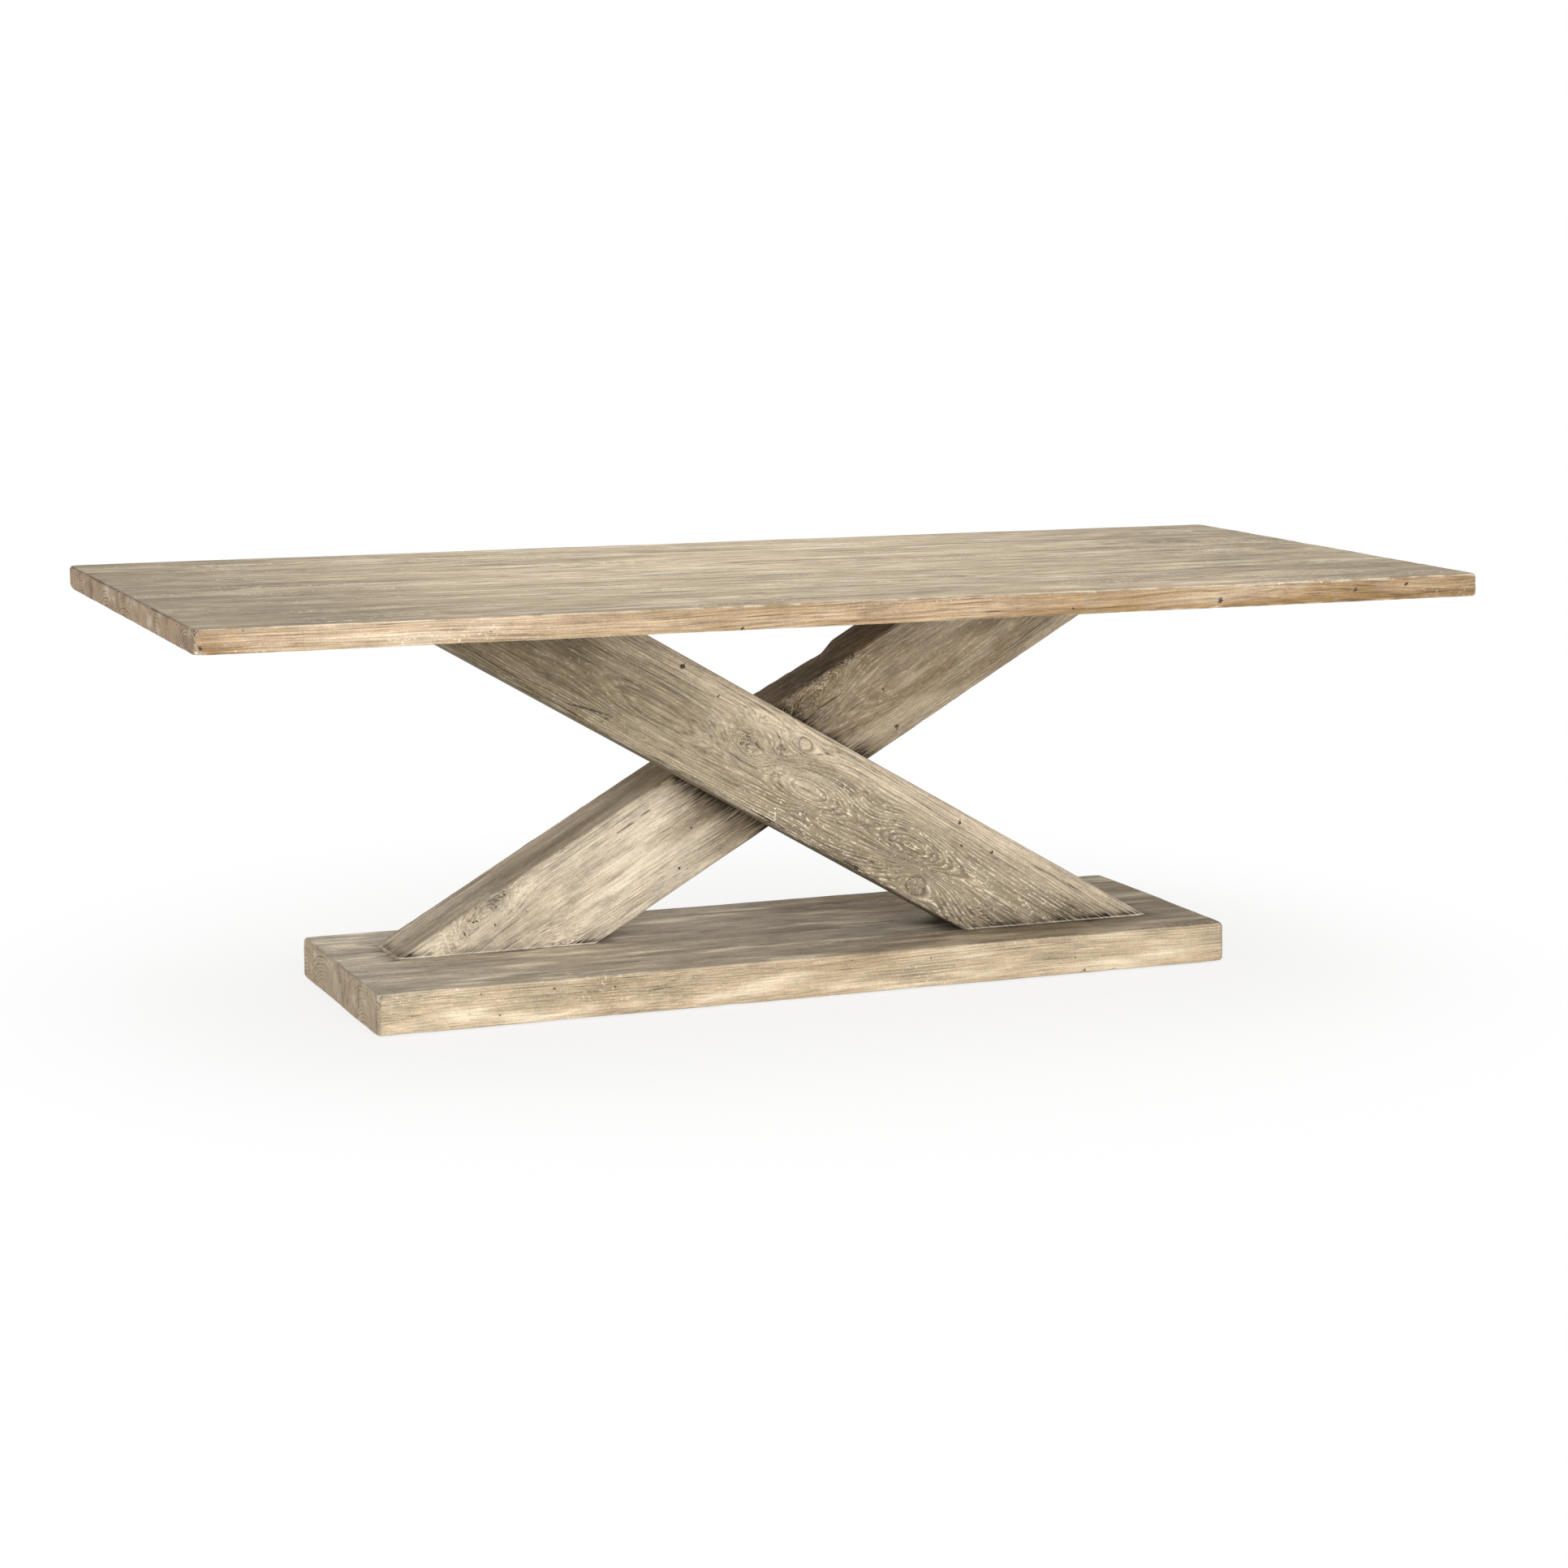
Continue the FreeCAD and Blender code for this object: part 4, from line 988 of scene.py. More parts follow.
def grain_values(tree, look):
    """Values that the pine's masks are cut from: noises, the place within a ring, knots and holes.

    End grain has none of the noises that are drawn out along the grain, except the cloud.
    """
    values = carried_values(tree)
    place = add(tree, "ShaderNodeAttribute", {}, "Vector", attribute_name="grain")
    for name, (along, across, detail) in (BROAD_NOISES | FINE_NOISES).items():
        coarse = look.coarse if name in FINE_NOISES else 1
        drawn = grain_noise(tree, place, along, coarse * across, detail)
        if name in FINE_NOISES and look.fine > 1:
            close = grain_noise(tree, place, along, across / look.fine, detail)
            drawn = add(tree, "ShaderNodeMix", {0: values["edge"], 2: drawn, 3: close})
        if name != "cloud":
            drawn = add(tree, "ShaderNodeMix", {0: values["end"], 2: drawn, 3: 0.5})
        values[name] = drawn
    radius = add(tree, "ShaderNodeSeparateXYZ", {"Vector": place}, "Y")
    ring = add(tree, "ShaderNodeMapRange",
               {"Value": values["end"], "To Min": look.ring, "To Max": END_RINGS * look.ring})
    rings = add(tree, "ShaderNodeMath", {0: radius, 1: ring}, operation="DIVIDE")
    for name, bend in RING_BENDS.items():
        rings = add(tree, "ShaderNodeMath", {0: values[name], 1: bend, 2: rings}, operation="MULTIPLY_ADD")
    values["within"] = add(tree, "ShaderNodeMath", {0: rings}, operation="FRACT")
    number = add(tree, "ShaderNodeMath", {0: rings}, operation="FLOOR")
    values["year"] = add(tree, "ShaderNodeTexWhiteNoise", {"W": number}, noise_dimensions="1D")
    values |= rough_values(tree)
    return values | knot_values(tree, values["crumb"], values["sound_knot"])


def knot_values(tree, crumb, even):
    """A knot's cone, the distance from the height at which its rim is, and rings round its middle.

    The cone is made uneven by a noise, which takes the roundness off the rim.
    """
    uneven = add(tree, "ShaderNodeMath", {0: crumb, 1: 0.7, 2: 0.65}, operation="MULTIPLY_ADD")
    cone = add(tree, "ShaderNodeMath", {0: even, 1: uneven}, operation="MULTIPLY")
    from_rim = add(tree, "ShaderNodeMath", {0: cone, 1: 1 - 1 / KNOT_REACH}, operation="SUBTRACT")
    turns = add(tree, "ShaderNodeMath", {0: cone, 1: KNOT_TURNS}, operation="MULTIPLY")
    return {
        "knot": cone,
        "rim_gap": add(tree, "ShaderNodeMath", {0: from_rim}, operation="ABSOLUTE"),
        "knot_turn": add(tree, "ShaderNodeMath", {0: turns, 1: 0.5}, operation="PINGPONG"),
    }


def rough_values(tree):
    """Noises that don't follow the grain, cells for pin holes and which of them have one, and scrapes."""
    coordinates = add(tree, "ShaderNodeTexCoord", {}, "Object")
    pins = add(tree, "ShaderNodeTexVoronoi", {"Vector": coordinates, "Scale": 1 / PIN_CELL})
    chance = add(tree, "ShaderNodeSeparateColor", {"Color": pins.node.outputs["Color"]}, "Red")
    shrink = tuple(1 / size for size in SCRAPE)
    turned = add(tree, "ShaderNodeMapping",
                 {"Vector": coordinates, "Rotation": SCRAPE_TURN, "Scale": shrink})
    values = {
        "pin": pins,
        "picked": add(tree, "ShaderNodeMath", {0: chance, 1: PIN_EMPTY}, operation="GREATER_THAN"),
        "scrape": add(tree, "ShaderNodeTexNoise", {"Vector": turned, "Scale": 1, "Detail": 1}),
    }
    for name, (cell, detail, distortion) in ROUGH_NOISES.items():
        values[name] = add(tree, "ShaderNodeTexNoise", {"Vector": coordinates, "Scale": 1 / cell,
                                                        "Detail": detail, "Distortion": distortion})
    return values


def holes(tree, pore, total, spots):
    """Mask of the pin holes, with the holes whose places are given added to them.

    A hole is ragged: its distance plus 4 r times the pore noise, which is about 0.5, is under 3 r.
    """
    coordinates = add(tree, "ShaderNodeTexCoord", {}, "Object")
    for *place, radius in in_metres(Spot, spots):
        apart = add(tree, "ShaderNodeVectorMath", {0: coordinates, 1: tuple(place)}, "Value",
                    operation="DISTANCE")
        uneven = add(tree, "ShaderNodeMath", {0: pore, 1: 4 * radius, 2: apart}, operation="MULTIPLY_ADD")
        disc = add(tree, "ShaderNodeMapRange",
                   {"Value": uneven, "From Min": 3.2 * radius, "From Max": 2.6 * radius})
        total = add(tree, "ShaderNodeMath", {0: total, 1: disc}, operation="MAXIMUM")
    return total


def pine_masks(tree, values, look):
    """The pine's values, and the masks that are cut from them or are products of others.

    Late wood is bolder on long edges and much bolder on end grain, and a knot's heart has none.
    """
    masks = dict(values)
    for name, (source, none, full) in GRAIN_MASKS.items():
        masks[name] = add(tree, "ShaderNodeMapRange", {"Value": values[source], "From Min": none,
                                                       "From Max": full}, interpolation_type="SMOOTHSTEP")
    masks["strength"] = add(tree, "ShaderNodeMapRange", {"Value": values["year"], "To Min": 0.3})
    masks["clear"] = add(tree, "ShaderNodeMapRange", {"Value": values["limed_zone"], "To Min": 0.5})
    masks["pale"] = add(tree, "ShaderNodeMapRange", {"Value": values["tone"], "To Min": 0.25})
    masks["patchy"] = add(tree, "ShaderNodeMapRange", {"Value": values["fibre"], "From Min": 0.35,
                                                       "From Max": 0.62, "To Min": 1.25, "To Max": 0.4})
    bold = add(tree, "ShaderNodeMath", {0: values["end"], 1: 3.5, 2: 1.0}, operation="MULTIPLY_ADD")
    masks["bold"] = add(tree, "ShaderNodeMath", {0: values["edge"], 1: bold}, operation="ADD")
    masks["trunk"] = add(tree, "ShaderNodeMath", {0: 1.0, 1: masks["heart"]}, operation="SUBTRACT")
    for name, factors in JOINED_MASKS.items():
        product = masks[factors[0]]
        for factor in factors[1:]:
            product = add(tree, "ShaderNodeMath", {0: product, 1: masks[factor]}, operation="MULTIPLY")
        masks[name] = product
    masks["hole"] = holes(tree, values["pore"], masks["hole"], look.spots)
    return masks


def pine_colour(tree, values, masks, look, colours):
    """The pine's colour: its tone, then each layer over the last, then light and shade of the fibres."""
    cloudy = add(tree, "ShaderNodeMath", {0: values["cloud"], 1: 1.5, 2: values["tone"]},
                 operation="MULTIPLY_ADD")
    ground = add(tree, "ShaderNodeMath", {0: cloudy, 1: 0.75}, operation="SUBTRACT", use_clamp=True)
    face, edge = (
        add(tree, "ShaderNodeMix", {FACTOR: ground, FIRST: rgba(deep), SECOND: rgba(pale)}, **COLOUR_MIX)
        for deep, pale in ((look.deep, look.pale), (look.edge_deep, look.edge_pale))
    )
    side = add(tree, "ShaderNodeMix", {FACTOR: masks["edge"], FIRST: face, SECOND: edge}, **COLOUR_MIX)
    shade = add(tree, "ShaderNodeMix", {FACTOR: masks["end"], FIRST: side, SECOND: rgba(look.end)},
                **COLOUR_MIX)
    layers = (
        ("patch", 0.3, colours.weathered),
        ("late", look.rings, colours.dark_grain),
        ("dirt", look.dirt, colours.dark_grain),
        ("check", 0.65, colours.grime),
        ("wash", look.wash, colours.pale_grain),
        ("limed", look.lime, colours.liming),
        ("end_dark", 0.4, colours.dark_grain),
        ("end_pale", 0.28, colours.pale_grain),
        ("heart", 0.1, colours.knot_brown),
        ("knot_ring", 0.3, colours.dark_grain),
        ("knot_pale", 0.35, colours.pale_grain),
        ("rim", 0.9, colours.grime),
        ("worn", 0.65, colours.pale_grain),
        # Splits, dark seams and the dark line along the top's end arrises
        ("split", 0.85, colours.grime),
        ("torn", 0.2, colours.knot_brown),
        ("crevice", 1, colours.grime),
        ("fringe", 0.85, colours.liming),
        ("hole", 0.9, colours.grime),
        ("speck", 0.9, colours.liming),
        ("scratch", look.wash, colours.pale_grain),
        # Dirt, and painted shade where the timbers meet, under the top and on the baulks' undersides
        ("grime", 0.92, colours.grime),
    )
    for name, amount, tint in layers:
        cover = add(tree, "ShaderNodeMath", {0: masks[name], 1: amount}, operation="MULTIPLY",
                    use_clamp=True)
        shade = add(tree, "ShaderNodeMix", {FACTOR: cover, FIRST: shade, SECOND: rgba(tint)}, **COLOUR_MIX)
    # each noise's mean is 0.5, so the lift's mean is 1
    lifts = {"fibre": 1.5, "streak": look.streaks, "smear": look.smears, "fleck": 0.4 * look.lime,
             "pore": 0.6, "mottle": 0.6}
    lift = 1 - 0.5 * sum(lifts.values())
    for name, amount in lifts.items():
        lift = add(tree, "ShaderNodeMath", {0: values[name], 1: amount, 2: lift}, operation="MULTIPLY_ADD")
    return add(tree, "ShaderNodeVectorMath", {0: shade, "Scale": lift}, operation="SCALE")


def pine_normal(tree, values, masks, relief):
    """The pine's bump: late wood, fibres and lime stand up, and dirt, checks and holes are sunk."""
    heights = (
        (masks["late"], 0.5), (values["fibre"], 0.8), (values["streak"], 0.5), (masks["dirt"], -0.3),
        (masks["check"], -0.6), (masks["limed"], 0.6), (masks["rim"], -0.8), (masks["hole"], -1.5),
        (values["fleck"], 0.3), (masks["crevice"], -1.2), (masks["fringe"], 0.8), (values["pore"], 0.4),
    )
    height = 0.0
    for mask, amount in heights:
        height = add(tree, "ShaderNodeMath", {0: mask, 1: amount, 2: height}, operation="MULTIPLY_ADD")
    return add(tree, "ShaderNodeBump", {"Strength": 0.8, "Distance": relief, "Height": height})


def weathered_pine(name, look, colours):
    """Reclaimed pine, planed by hand, weathered and limed.

    Late wood stands up in dark lines, a growth ring apart. The soft wood between has gone grey and
    holds pale lime and dark dirt in streaks and dashes along the grain. Arrises are rubbed pale,
    knots have dark rims or are torn, and dirt lies where timbers meet. Painted shade darkens those
    meetings too, and the faces under the top and the baulks' undersides. The surface is dull.
    """
    material, tree = new_material(name)
    values = grain_values(tree, look)
    masks = pine_masks(tree, values, look)
    shade = pine_colour(tree, values, masks, look, colours)
    normal = pine_normal(tree, values, masks, look.relief)
    rough = add(tree, "ShaderNodeMapRange", {"Value": values["streak"], "To Min": 0.66, "To Max": 0.86})
    surface = add(tree, "ShaderNodeBsdfPrincipled",
                  {"Base Color": shade, "Roughness": rough, "IOR": 1.45, "Normal": normal})
    finish_material(tree, surface)
    return material


# Plain timbers: the length and width of their fibres, the way from the pith to the middle of the
# floor, and how much less the rings change along the fibres than across them
FIBRE_LENGTH, FIBRE_WIDTH = 80 * MM, 1.8 * MM
FROM_PITH = (0.043, 0.031, -0.52)
RING_TAPER = 0.02


def plain_timber(name, tint, dark, ring, fibre_axis):
    """Clean planed wood on a solid that carries no attributes: rings about a line under the top.

    Rings are dark lines a ring width apart, and fibres are noise drawn out along that line.
    """
    material, tree = new_material(name)
    coordinates = add(tree, "ShaderNodeTexCoord", {}, "Object")
    stretch = [1 / FIBRE_WIDTH] * 3
    stretch[fibre_axis] = 1 / FIBRE_LENGTH
    squash = [1.0] * 3
    squash[fibre_axis] = RING_TAPER
    from_pith = add(tree, "ShaderNodeVectorMath", {0: coordinates, 1: tuple(squash), 2: FROM_PITH},
                    operation="MULTIPLY_ADD")
    radius = add(tree, "ShaderNodeVectorMath", {0: from_pith}, "Value", operation="LENGTH")
    wobble = add(tree, "ShaderNodeTexNoise", {"Vector": coordinates, "Scale": 9, "Detail": 2})
    turns = add(tree, "ShaderNodeMath", {0: radius, 1: ring}, operation="DIVIDE")
    phase = add(tree, "ShaderNodeMath", {0: wobble, 1: 2.0, 2: turns}, operation="MULTIPLY_ADD")
    within = add(tree, "ShaderNodeMath", {0: phase, 1: 0.5}, operation="PINGPONG")
    late = add(tree, "ShaderNodeMapRange",
               {"Value": within, "From Min": 0.25, "From Max": 0.5, "To Max": 0.4},
               interpolation_type="SMOOTHSTEP")
    drawn = add(tree, "ShaderNodeVectorMath", {0: coordinates, 1: tuple(stretch)}, operation="MULTIPLY")
    fibre = add(tree, "ShaderNodeTexNoise", {"Vector": drawn, "Scale": 1, "Detail": 3})
    shade = add(tree, "ShaderNodeMix", {FACTOR: late, FIRST: rgba(tint), SECOND: rgba(dark)},
                **COLOUR_MIX)
    lift = add(tree, "ShaderNodeMapRange", {"Value": fibre, "From Min": 0.3, "From Max": 0.7,
                                            "To Min": 0.85, "To Max": 1.1})
    shade = add(tree, "ShaderNodeVectorMath", {0: shade, "Scale": lift}, operation="SCALE")
    normal = add(tree, "ShaderNodeBump", {"Strength": 0.5, "Distance": 0.3 * MM, "Height": fibre})
    rough = add(tree, "ShaderNodeMapRange", {"Value": fibre, "To Min": 0.55, "To Max": 0.75})
    surface = add(tree, "ShaderNodeBsdfPrincipled",
                  {"Base Color": shade, "Roughness": rough, "IOR": 1.45, "Normal": normal})
    finish_material(tree, surface)
    return material


def zinc_plate(name, tint, dull):
    """Bright zinc plate on steel: a grey metal with a faint mottle and patches that are duller."""
    material, tree = new_material(name)
    coordinates = add(tree, "ShaderNodeTexCoord", {}, "Object")
    mottle = add(tree, "ShaderNodeTexVoronoi", {"Vector": coordinates, "Scale": 1 / (3 * MM)})
    cloud = add(tree, "ShaderNodeTexNoise", {"Vector": coordinates, "Scale": 1 / (12 * MM), "Detail": 3})
    factor = add(tree, "ShaderNodeMath", {0: mottle, 1: cloud}, operation="MULTIPLY")
    shade = add(tree, "ShaderNodeMix", {FACTOR: factor, FIRST: rgba(tint), SECOND: rgba(dull)},
                **COLOUR_MIX)
    rough = add(tree, "ShaderNodeMapRange", {"Value": cloud, "To Min": 0.25, "To Max": 0.55})
    normal = add(tree, "ShaderNodeBump", {"Strength": 0.3, "Distance": 0.05 * MM, "Height": cloud})
    surface = add(tree, "ShaderNodeBsdfPrincipled",
                  {"Base Color": shade, "Metallic": 1.0, "Roughness": rough, "Normal": normal})
    finish_material(tree, surface)
    return material


def pressed_felt(name, tint):
    """Pressed wool felt: matted fibres with a soft sheen."""
    material, tree = new_material(name)
    coordinates = add(tree, "ShaderNodeTexCoord", {}, "Object")
    mat = add(tree, "ShaderNodeTexNoise", {"Vector": coordinates, "Scale": 1 / (1.2 * MM), "Detail": 4,
                                           "Distortion": 1.5})
    factor = add(tree, "ShaderNodeMapRange", {"Value": mat, "From Min": 0.35, "From Max": 0.65})
    shadow = [0.6 * level for level in tint]
    shade = add(tree, "ShaderNodeMix", {FACTOR: factor, FIRST: rgba(shadow), SECOND: rgba(tint)},
                **COLOUR_MIX)
    normal = add(tree, "ShaderNodeBump", {"Strength": 0.8, "Distance": 0.4 * MM, "Height": mat})
    surface = add(tree, "ShaderNodeBsdfPrincipled",
                  {"Base Color": shade, "Roughness": 0.95, "Sheen Weight": 0.4, "Normal": normal})
    finish_material(tree, surface)
    return material


def dress(node, material):
    """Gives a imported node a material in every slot."""
    solid = frame["nodes"][node]
    if not solid.material_slots:
        solid.data.materials.append(material)
    for slot in solid.material_slots:
        slot.material = material


# ---------------------------------------------------------------- operators

# Points of two screws are further apart than this, and points of one screw are not
SCREW_GAP = 50 * MM


def screw_places(node, side):
    """Places along the table of a node's screws on one side of y = 0, from the gaps between them."""
    mesh = frame["nodes"][node].data
    places = np.zeros(3 * len(mesh.vertices))
    mesh.vertices.foreach_get("co", places)
    places = places.reshape(-1, 3)
    along = np.sort(places[places[:, 1] * side > 0][:, 0])
    gaps = np.flatnonzero(np.diff(along) > SCREW_GAP) + 1
    return [(group[0] + group[-1]) / 2 for group in np.split(along, gaps)]


class SAWBUCK_OT_top(bpy.types.Operator):
    """Makes the five boards of the top, with the battens' trenches open at the back"""

    bl_idname = "sawbuck.top"
    bl_label = "Top boards"

    def execute(self, context):
        sizes, colours = context.scene.sawbuck_sizes, context.scene.sawbuck_colours
        look = Look(colours.top_deep, colours.top_pale, colours.top_edge_deep, colours.top_edge_pale,
                    colours.top_end, sizes.top_ring, rings=0.38, dirt=0.42, wash=0.3, lime=0.4,
                    streaks=1.1, smears=0.4, relief=0.8 * MM, coarse=2.6, fine=1.5, spots=TOP_SPOTS)
        material = weathered_pine("weathered_top_pine", look, colours)
        slab = union_box(TOP_TIMBERS)
        chips = in_metres(Chip, TOP_CHIPS)
        steps = (6.5 * MM, 3.2 * MM, 3 * MM)
        for number, node in enumerate(TOP_TIMBERS):
            timber = board_timber(node, TOP_TIMBERS, SEED_STEP * number + TOP_SEED)
            trenches = list(batten_trenches(timber, sizes)) if node == "top_back_board" else []
            slab_piece(node, timber, slab, sizes.top_arris, chips, sizes, steps, [], trenches, paint_top,
                       material)
        return {"FINISHED"}


class SAWBUCK_OT_plinth(bpy.types.Operator):
    """Makes the three boards of the plinth, with the counterbores in its underside"""

    bl_idname = "sawbuck.plinth"
    bl_label = "Plinth boards"

    def execute(self, context):
        sizes, colours = context.scene.sawbuck_sizes, context.scene.sawbuck_colours
        look = Look(colours.plinth_deep, colours.plinth_pale, colours.plinth_edge_deep,
                    colours.plinth_edge_pale, colours.plinth_end, sizes.plinth_ring,
                    rings=0.2, dirt=0.2, wash=0.5, lime=0.5, streaks=0.4, smears=1.3, relief=0.8 * MM,
                    coarse=1.8, fine=1.3, spots=PLINTH_SPOTS)
        material = weathered_pine("weathered_plinth_pine", look, colours)
        slab = union_box(PLINTH_TIMBERS)
        chips = in_metres(Chip, PLINTH_CHIPS)
        steps = (6.5 * MM, 4 * MM, 4 * MM)
        half = union_box(["rear_baulk"])[1][1] / 2
        bores = [(x, side * half) for side in (-1, 1) for x in screw_places("foot_coach_screws", side)]
        for number, node in enumerate(PLINTH_TIMBERS):
            timber = board_timber(node, PLINTH_TIMBERS, SEED_STEP * number + PLINTH_SEED)
            slab_piece(node, timber, slab, sizes.plinth_arris, chips, sizes, steps, bores, [], paint_plinth,
                       material)
        return {"FINISHED"}


class SAWBUCK_OT_front_baulk(bpy.types.Operator):
    """Makes the front baulk, with its open grain, knots and splits"""

    bl_idname = "sawbuck.front_baulk"
    bl_label = "Front baulk"

    def execute(self, context):
        sizes, colours = context.scene.sawbuck_sizes, context.scene.sawbuck_colours
        look = Look(colours.front_deep, colours.front_pale, colours.front_deep, colours.front_pale,
                    colours.front_deep, sizes.baulk_ring, rings=0.62, dirt=0.3, wash=0.2, lime=1,
                    streaks=0.9, smears=0.4, relief=2.4 * MM, coarse=1, fine=1, spots=FRONT_BAULK_SPOTS)
        material = weathered_pine("weathered_front_baulk_pine", look, colours)
        timber = baulk_timber(-1, sizes, FRONT_BAULK_KNOTS, FRONT_BAULK_EYES, FRONT_BAULK_SPLITS,
                              (-0.012, -0.085), (0.01, 0.012), 301)
        baulk_piece("front_baulk", timber, sizes, in_metres(Chip, FRONT_BAULK_CHIPS), None, [],
                    paint_front_baulk, material)
        return {"FINISHED"}


class SAWBUCK_OT_rear_baulk(bpy.types.Operator):
    """Makes the rear baulk, with its wane and the counterbores in its back"""

    bl_idname = "sawbuck.rear_baulk"
    bl_label = "Rear baulk"

    def execute(self, context):
        sizes, colours = context.scene.sawbuck_sizes, context.scene.sawbuck_colours
        look = Look(colours.rear_deep, colours.rear_pale, colours.rear_deep, colours.rear_pale,
                    colours.rear_deep, sizes.baulk_ring, rings=0.32, dirt=0.1, wash=0.45, lime=0.9,
                    streaks=0.25, smears=0.9, relief=1.6 * MM, coarse=1, fine=1, spots=REAR_BAULK_SPOTS)
        material = weathered_pine("weathered_rear_baulk_pine", look, colours)
        timber = baulk_timber(1, sizes, REAR_BAULK_KNOTS, REAR_BAULK_EYES, REAR_BAULK_SPLITS,
                              (0.03, -0.11), (-0.012, 0.014), 331)
        bores = [x * timber.axes[:2, 0] for x in screw_places("crossing_coach_screws", 1)]
        baulk_piece("rear_baulk", timber, sizes, in_metres(Chip, REAR_BAULK_CHIPS), BACK_WANE, bores,
                    paint_rear_baulk, material)
        return {"FINISHED"}


class SAWBUCK_OT_battens(bpy.types.Operator):
    """Gives the battens under the top their sawn pine"""

    bl_idname = "sawbuck.battens"
    bl_label = "Battens"

    def execute(self, context):
        colours = context.scene.sawbuck_colours
        material = plain_timber("sawn_batten_pine", colours.batten_pine, colours.dark_grain, 4 * MM, 1)
        for node in BATTENS:
            dress(node, material)
        return {"FINISHED"}


class SAWBUCK_OT_fixings(bpy.types.Operator):
    """Gives the tongues, tenons, pegs, screws, washers and pads their finishes"""

    bl_idname = "sawbuck.fixings"
    bl_label = "Fixings"

    def execute(self, context):
        colours = context.scene.sawbuck_colours
        by_slot = {
            "beech": plain_timber("planed_beech", colours.beech, colours.beech_grain, 2 * MM, 0),
            "zinc_steel": zinc_plate("zinc_plated_steel", colours.zinc, colours.dull_zinc),
            "felt": pressed_felt("pressed_wool_felt", colours.felt),
        }
        for subpart in frame["record"]["subparts"]:
            if subpart["material_slot"] in by_slot:
                dress(subpart["node"], by_slot[subpart["material_slot"]])
        return {"FINISHED"}


CAMERA_PLACE = (-2.3847, -5.8930, 1.4358)
CAMERA_LENS = 78.85
CAMERA_SENSOR = 36
CAMERA_YAW, CAMERA_PITCH, CAMERA_ROLL = math.radians(22.278), math.radians(9.632), math.radians(0.192)

# Each softbox: name, place, what it looks at, width, height and power in watts
SOFTBOXES = (
    ("front_softbox", (-1.2, -5.5, 2.6), (0, 0, 0.35), 5.0, 2.6, 160),
    ("left_softbox", (-4.5, -1.6, 2.0), (0, 0, 0.5), 2.6, 2.2, 12),
    ("overhead_softbox", (0.3, 0.4, 4.2), (0, 0, 0.7), 4.5, 2.6, 50),
)
SURROUND_LIGHT = 0.6
FLOOR_REACH = 60
# The floor's glow rises from a share near the table to all of it further off, between two distances
GLOW_SHARE, GLOW_NEAR, GLOW_FAR = 0.8, 0.8, 1.7


def aim(yaw, pitch, roll):
    """Camera rotation for a heading clockwise from +Y, a dip below the horizon and a roll."""
    forward = Vector((math.sin(yaw) * math.cos(pitch), math.cos(yaw) * math.cos(pitch), -math.sin(pitch)))
    right = Vector((math.cos(yaw), -math.sin(yaw), 0))
    up = right.cross(forward)
    turned = math.cos(roll) * right + math.sin(roll) * up
    raised = math.cos(roll) * up - math.sin(roll) * right
    return Matrix((turned, raised, -forward)).transposed().to_4x4()


def seen_directly(tree):
    """1 for what the camera sees itself or in something glossy or clear, and 0 for other light."""
    path = add(tree, "ShaderNodeLightPath", {}).node.outputs
    seen = path["Is Camera Ray"]
    for ray in ("Is Glossy Ray", "Is Transmission Ray"):
        seen = add(tree, "ShaderNodeMath", {0: seen, 1: path[ray]}, operation="MAXIMUM")
    return seen


def pale_floor(colours):
    """Pale painted floor that the eye sees as white, a soft shadow near the table apart."""
    material, tree = new_material("pale_floor")
    paint = add(tree, "ShaderNodeBsdfDiffuse", {"Color": rgba(colours.floor)})
    glow = add(tree, "ShaderNodeEmission", {"Color": (1, 1, 1, 1), "Strength": 1.0})
    coordinates = add(tree, "ShaderNodeTexCoord", {}, "Object")
    away = add(tree, "ShaderNodeVectorMath", {0: coordinates}, "Value", operation="LENGTH")
    share = add(tree, "ShaderNodeMapRange",
                {"Value": away, "From Min": GLOW_NEAR, "From Max": GLOW_FAR, "To Min": GLOW_SHARE},
                interpolation_type="SMOOTHSTEP")
    factor = add(tree, "ShaderNodeMath", {0: seen_directly(tree), 1: share}, operation="MULTIPLY")
    finish_material(tree, add(tree, "ShaderNodeMixShader", {0: factor, 1: paint, 2: glow}))
    return material


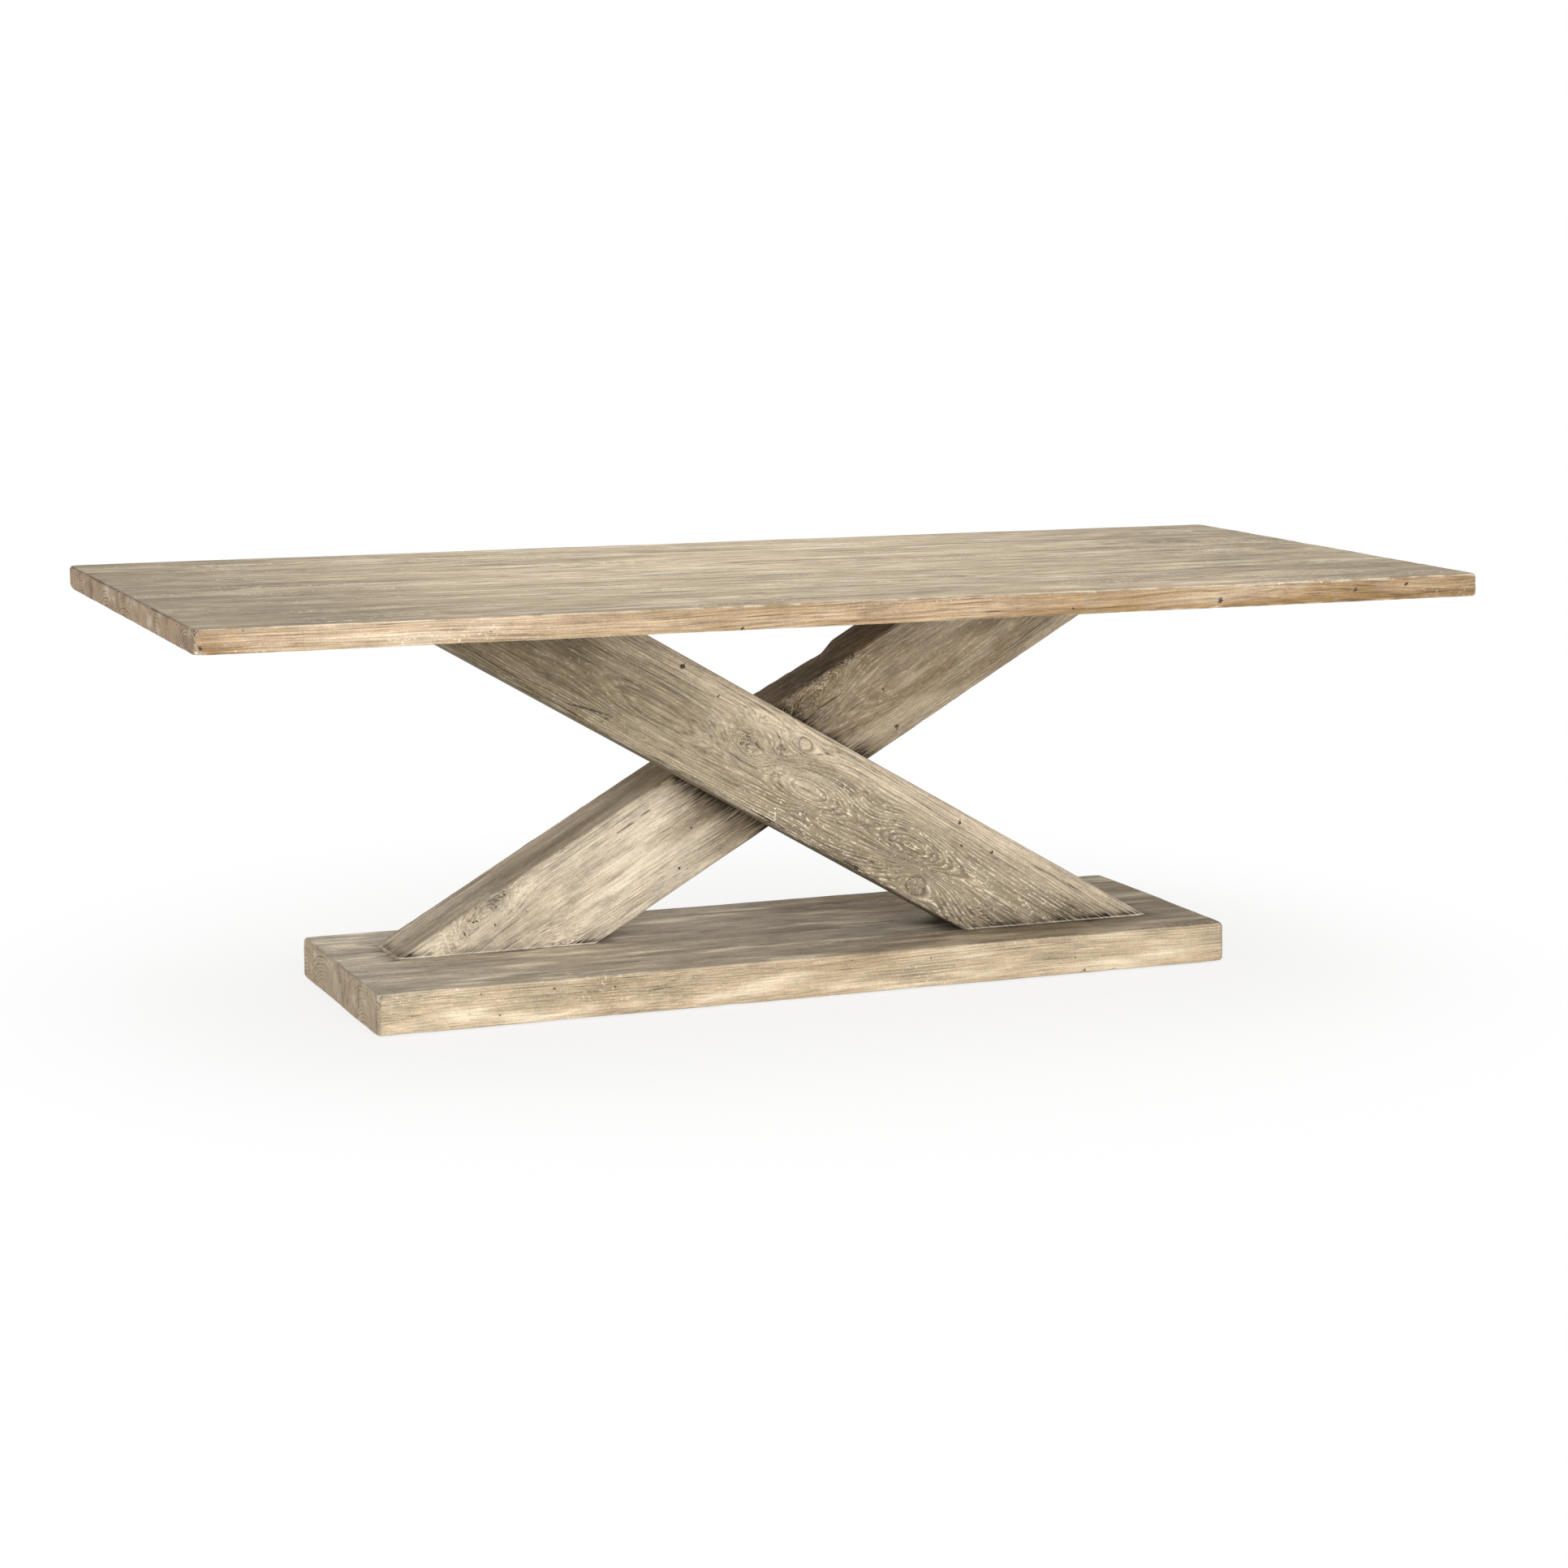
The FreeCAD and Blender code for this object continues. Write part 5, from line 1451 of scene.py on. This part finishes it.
class SAWBUCK_OT_stage(bpy.types.Operator):
    """Makes the floor, the softboxes, the white surround and the camera"""

    bl_idname = "sawbuck.stage"
    bl_label = "Stage"

    def execute(self, context):
        scene = context.scene
        mesh = bpy.data.meshes.new("floor")
        corners = [(x * FLOOR_REACH, y * FLOOR_REACH, 0) for x, y in ((-1, -1), (1, -1), (1, 1), (-1, 1))]
        mesh.from_pydata(corners, [], [(0, 1, 2, 3)])
        mesh.materials.append(pale_floor(scene.sawbuck_colours))
        floor = bpy.data.objects.new("floor", mesh)
        scene.collection.objects.link(floor)

        scene.world = bpy.data.worlds.new("white_surround")
        scene.world.use_nodes = True
        sky = scene.world.node_tree
        sky.nodes.clear()
        strength = add(sky, "ShaderNodeMapRange", {"Value": seen_directly(sky), "To Min": SURROUND_LIGHT})
        light = add(sky, "ShaderNodeBackground", {"Color": (1, 1, 1, 1), "Strength": strength})
        output = sky.nodes.new("ShaderNodeOutputWorld")
        sky.links.new(light, output.inputs["Surface"])

        for name, place, target, width, height, power in SOFTBOXES:
            lamp = bpy.data.lights.new(name, "AREA")
            lamp.shape = "RECTANGLE"
            lamp.size, lamp.size_y, lamp.energy = width, height, power
            box = bpy.data.objects.new(name, lamp)
            box.location = place
            box.rotation_euler = (Vector(target) - Vector(place)).to_track_quat("-Z", "Y").to_euler()
            scene.collection.objects.link(box)

        lens = bpy.data.cameras.new("camera")
        lens.lens = CAMERA_LENS
        lens.sensor_width = CAMERA_SENSOR
        lens.clip_end = 2 * FLOOR_REACH
        camera = bpy.data.objects.new("camera", lens)
        camera.matrix_world = Matrix.Translation(CAMERA_PLACE) @ aim(CAMERA_YAW, CAMERA_PITCH, CAMERA_ROLL)
        scene.collection.objects.link(camera)
        scene.camera = camera
        scene.view_settings.view_transform = "Standard"
        return {"FINISHED"}


class SAWBUCK_PT_panel(bpy.types.Panel):
    """Lists the table's pieces and settings in the sidebar"""

    bl_idname = "SAWBUCK_PT_panel"
    bl_label = "Sawbuck table"
    bl_space_type = "VIEW_3D"
    bl_region_type = "UI"
    bl_category = "Sawbuck"

    def draw(self, context):
        for operator in OPERATORS:
            self.layout.operator(operator.bl_idname)
        for group in (context.scene.sawbuck_sizes, context.scene.sawbuck_colours):
            for name in group.__annotations__:
                self.layout.prop(group, name)


OPERATORS = (
    SAWBUCK_OT_top,
    SAWBUCK_OT_plinth,
    SAWBUCK_OT_front_baulk,
    SAWBUCK_OT_rear_baulk,
    SAWBUCK_OT_battens,
    SAWBUCK_OT_fixings,
    SAWBUCK_OT_stage,
)
CLASSES = (SawbuckSizes, SawbuckColours, *OPERATORS, SAWBUCK_PT_panel)


def register():
    """Registers the classes and hangs the settings on the scene."""
    for cls in CLASSES:
        bpy.utils.register_class(cls)
    bpy.types.Scene.sawbuck_sizes = bpy.props.PointerProperty(type=SawbuckSizes)
    bpy.types.Scene.sawbuck_colours = bpy.props.PointerProperty(type=SawbuckColours)


def unregister():
    """Takes the settings and classes away again."""
    del bpy.types.Scene.sawbuck_colours
    del bpy.types.Scene.sawbuck_sizes
    for cls in reversed(CLASSES):
        bpy.utils.unregister_class(cls)


def main():
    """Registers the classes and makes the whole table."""
    register()
    for operator in OPERATORS:
        group, name = operator.bl_idname.split(".")
        getattr(getattr(bpy.ops, group), name)()


if __name__ == "__main__":
    main()
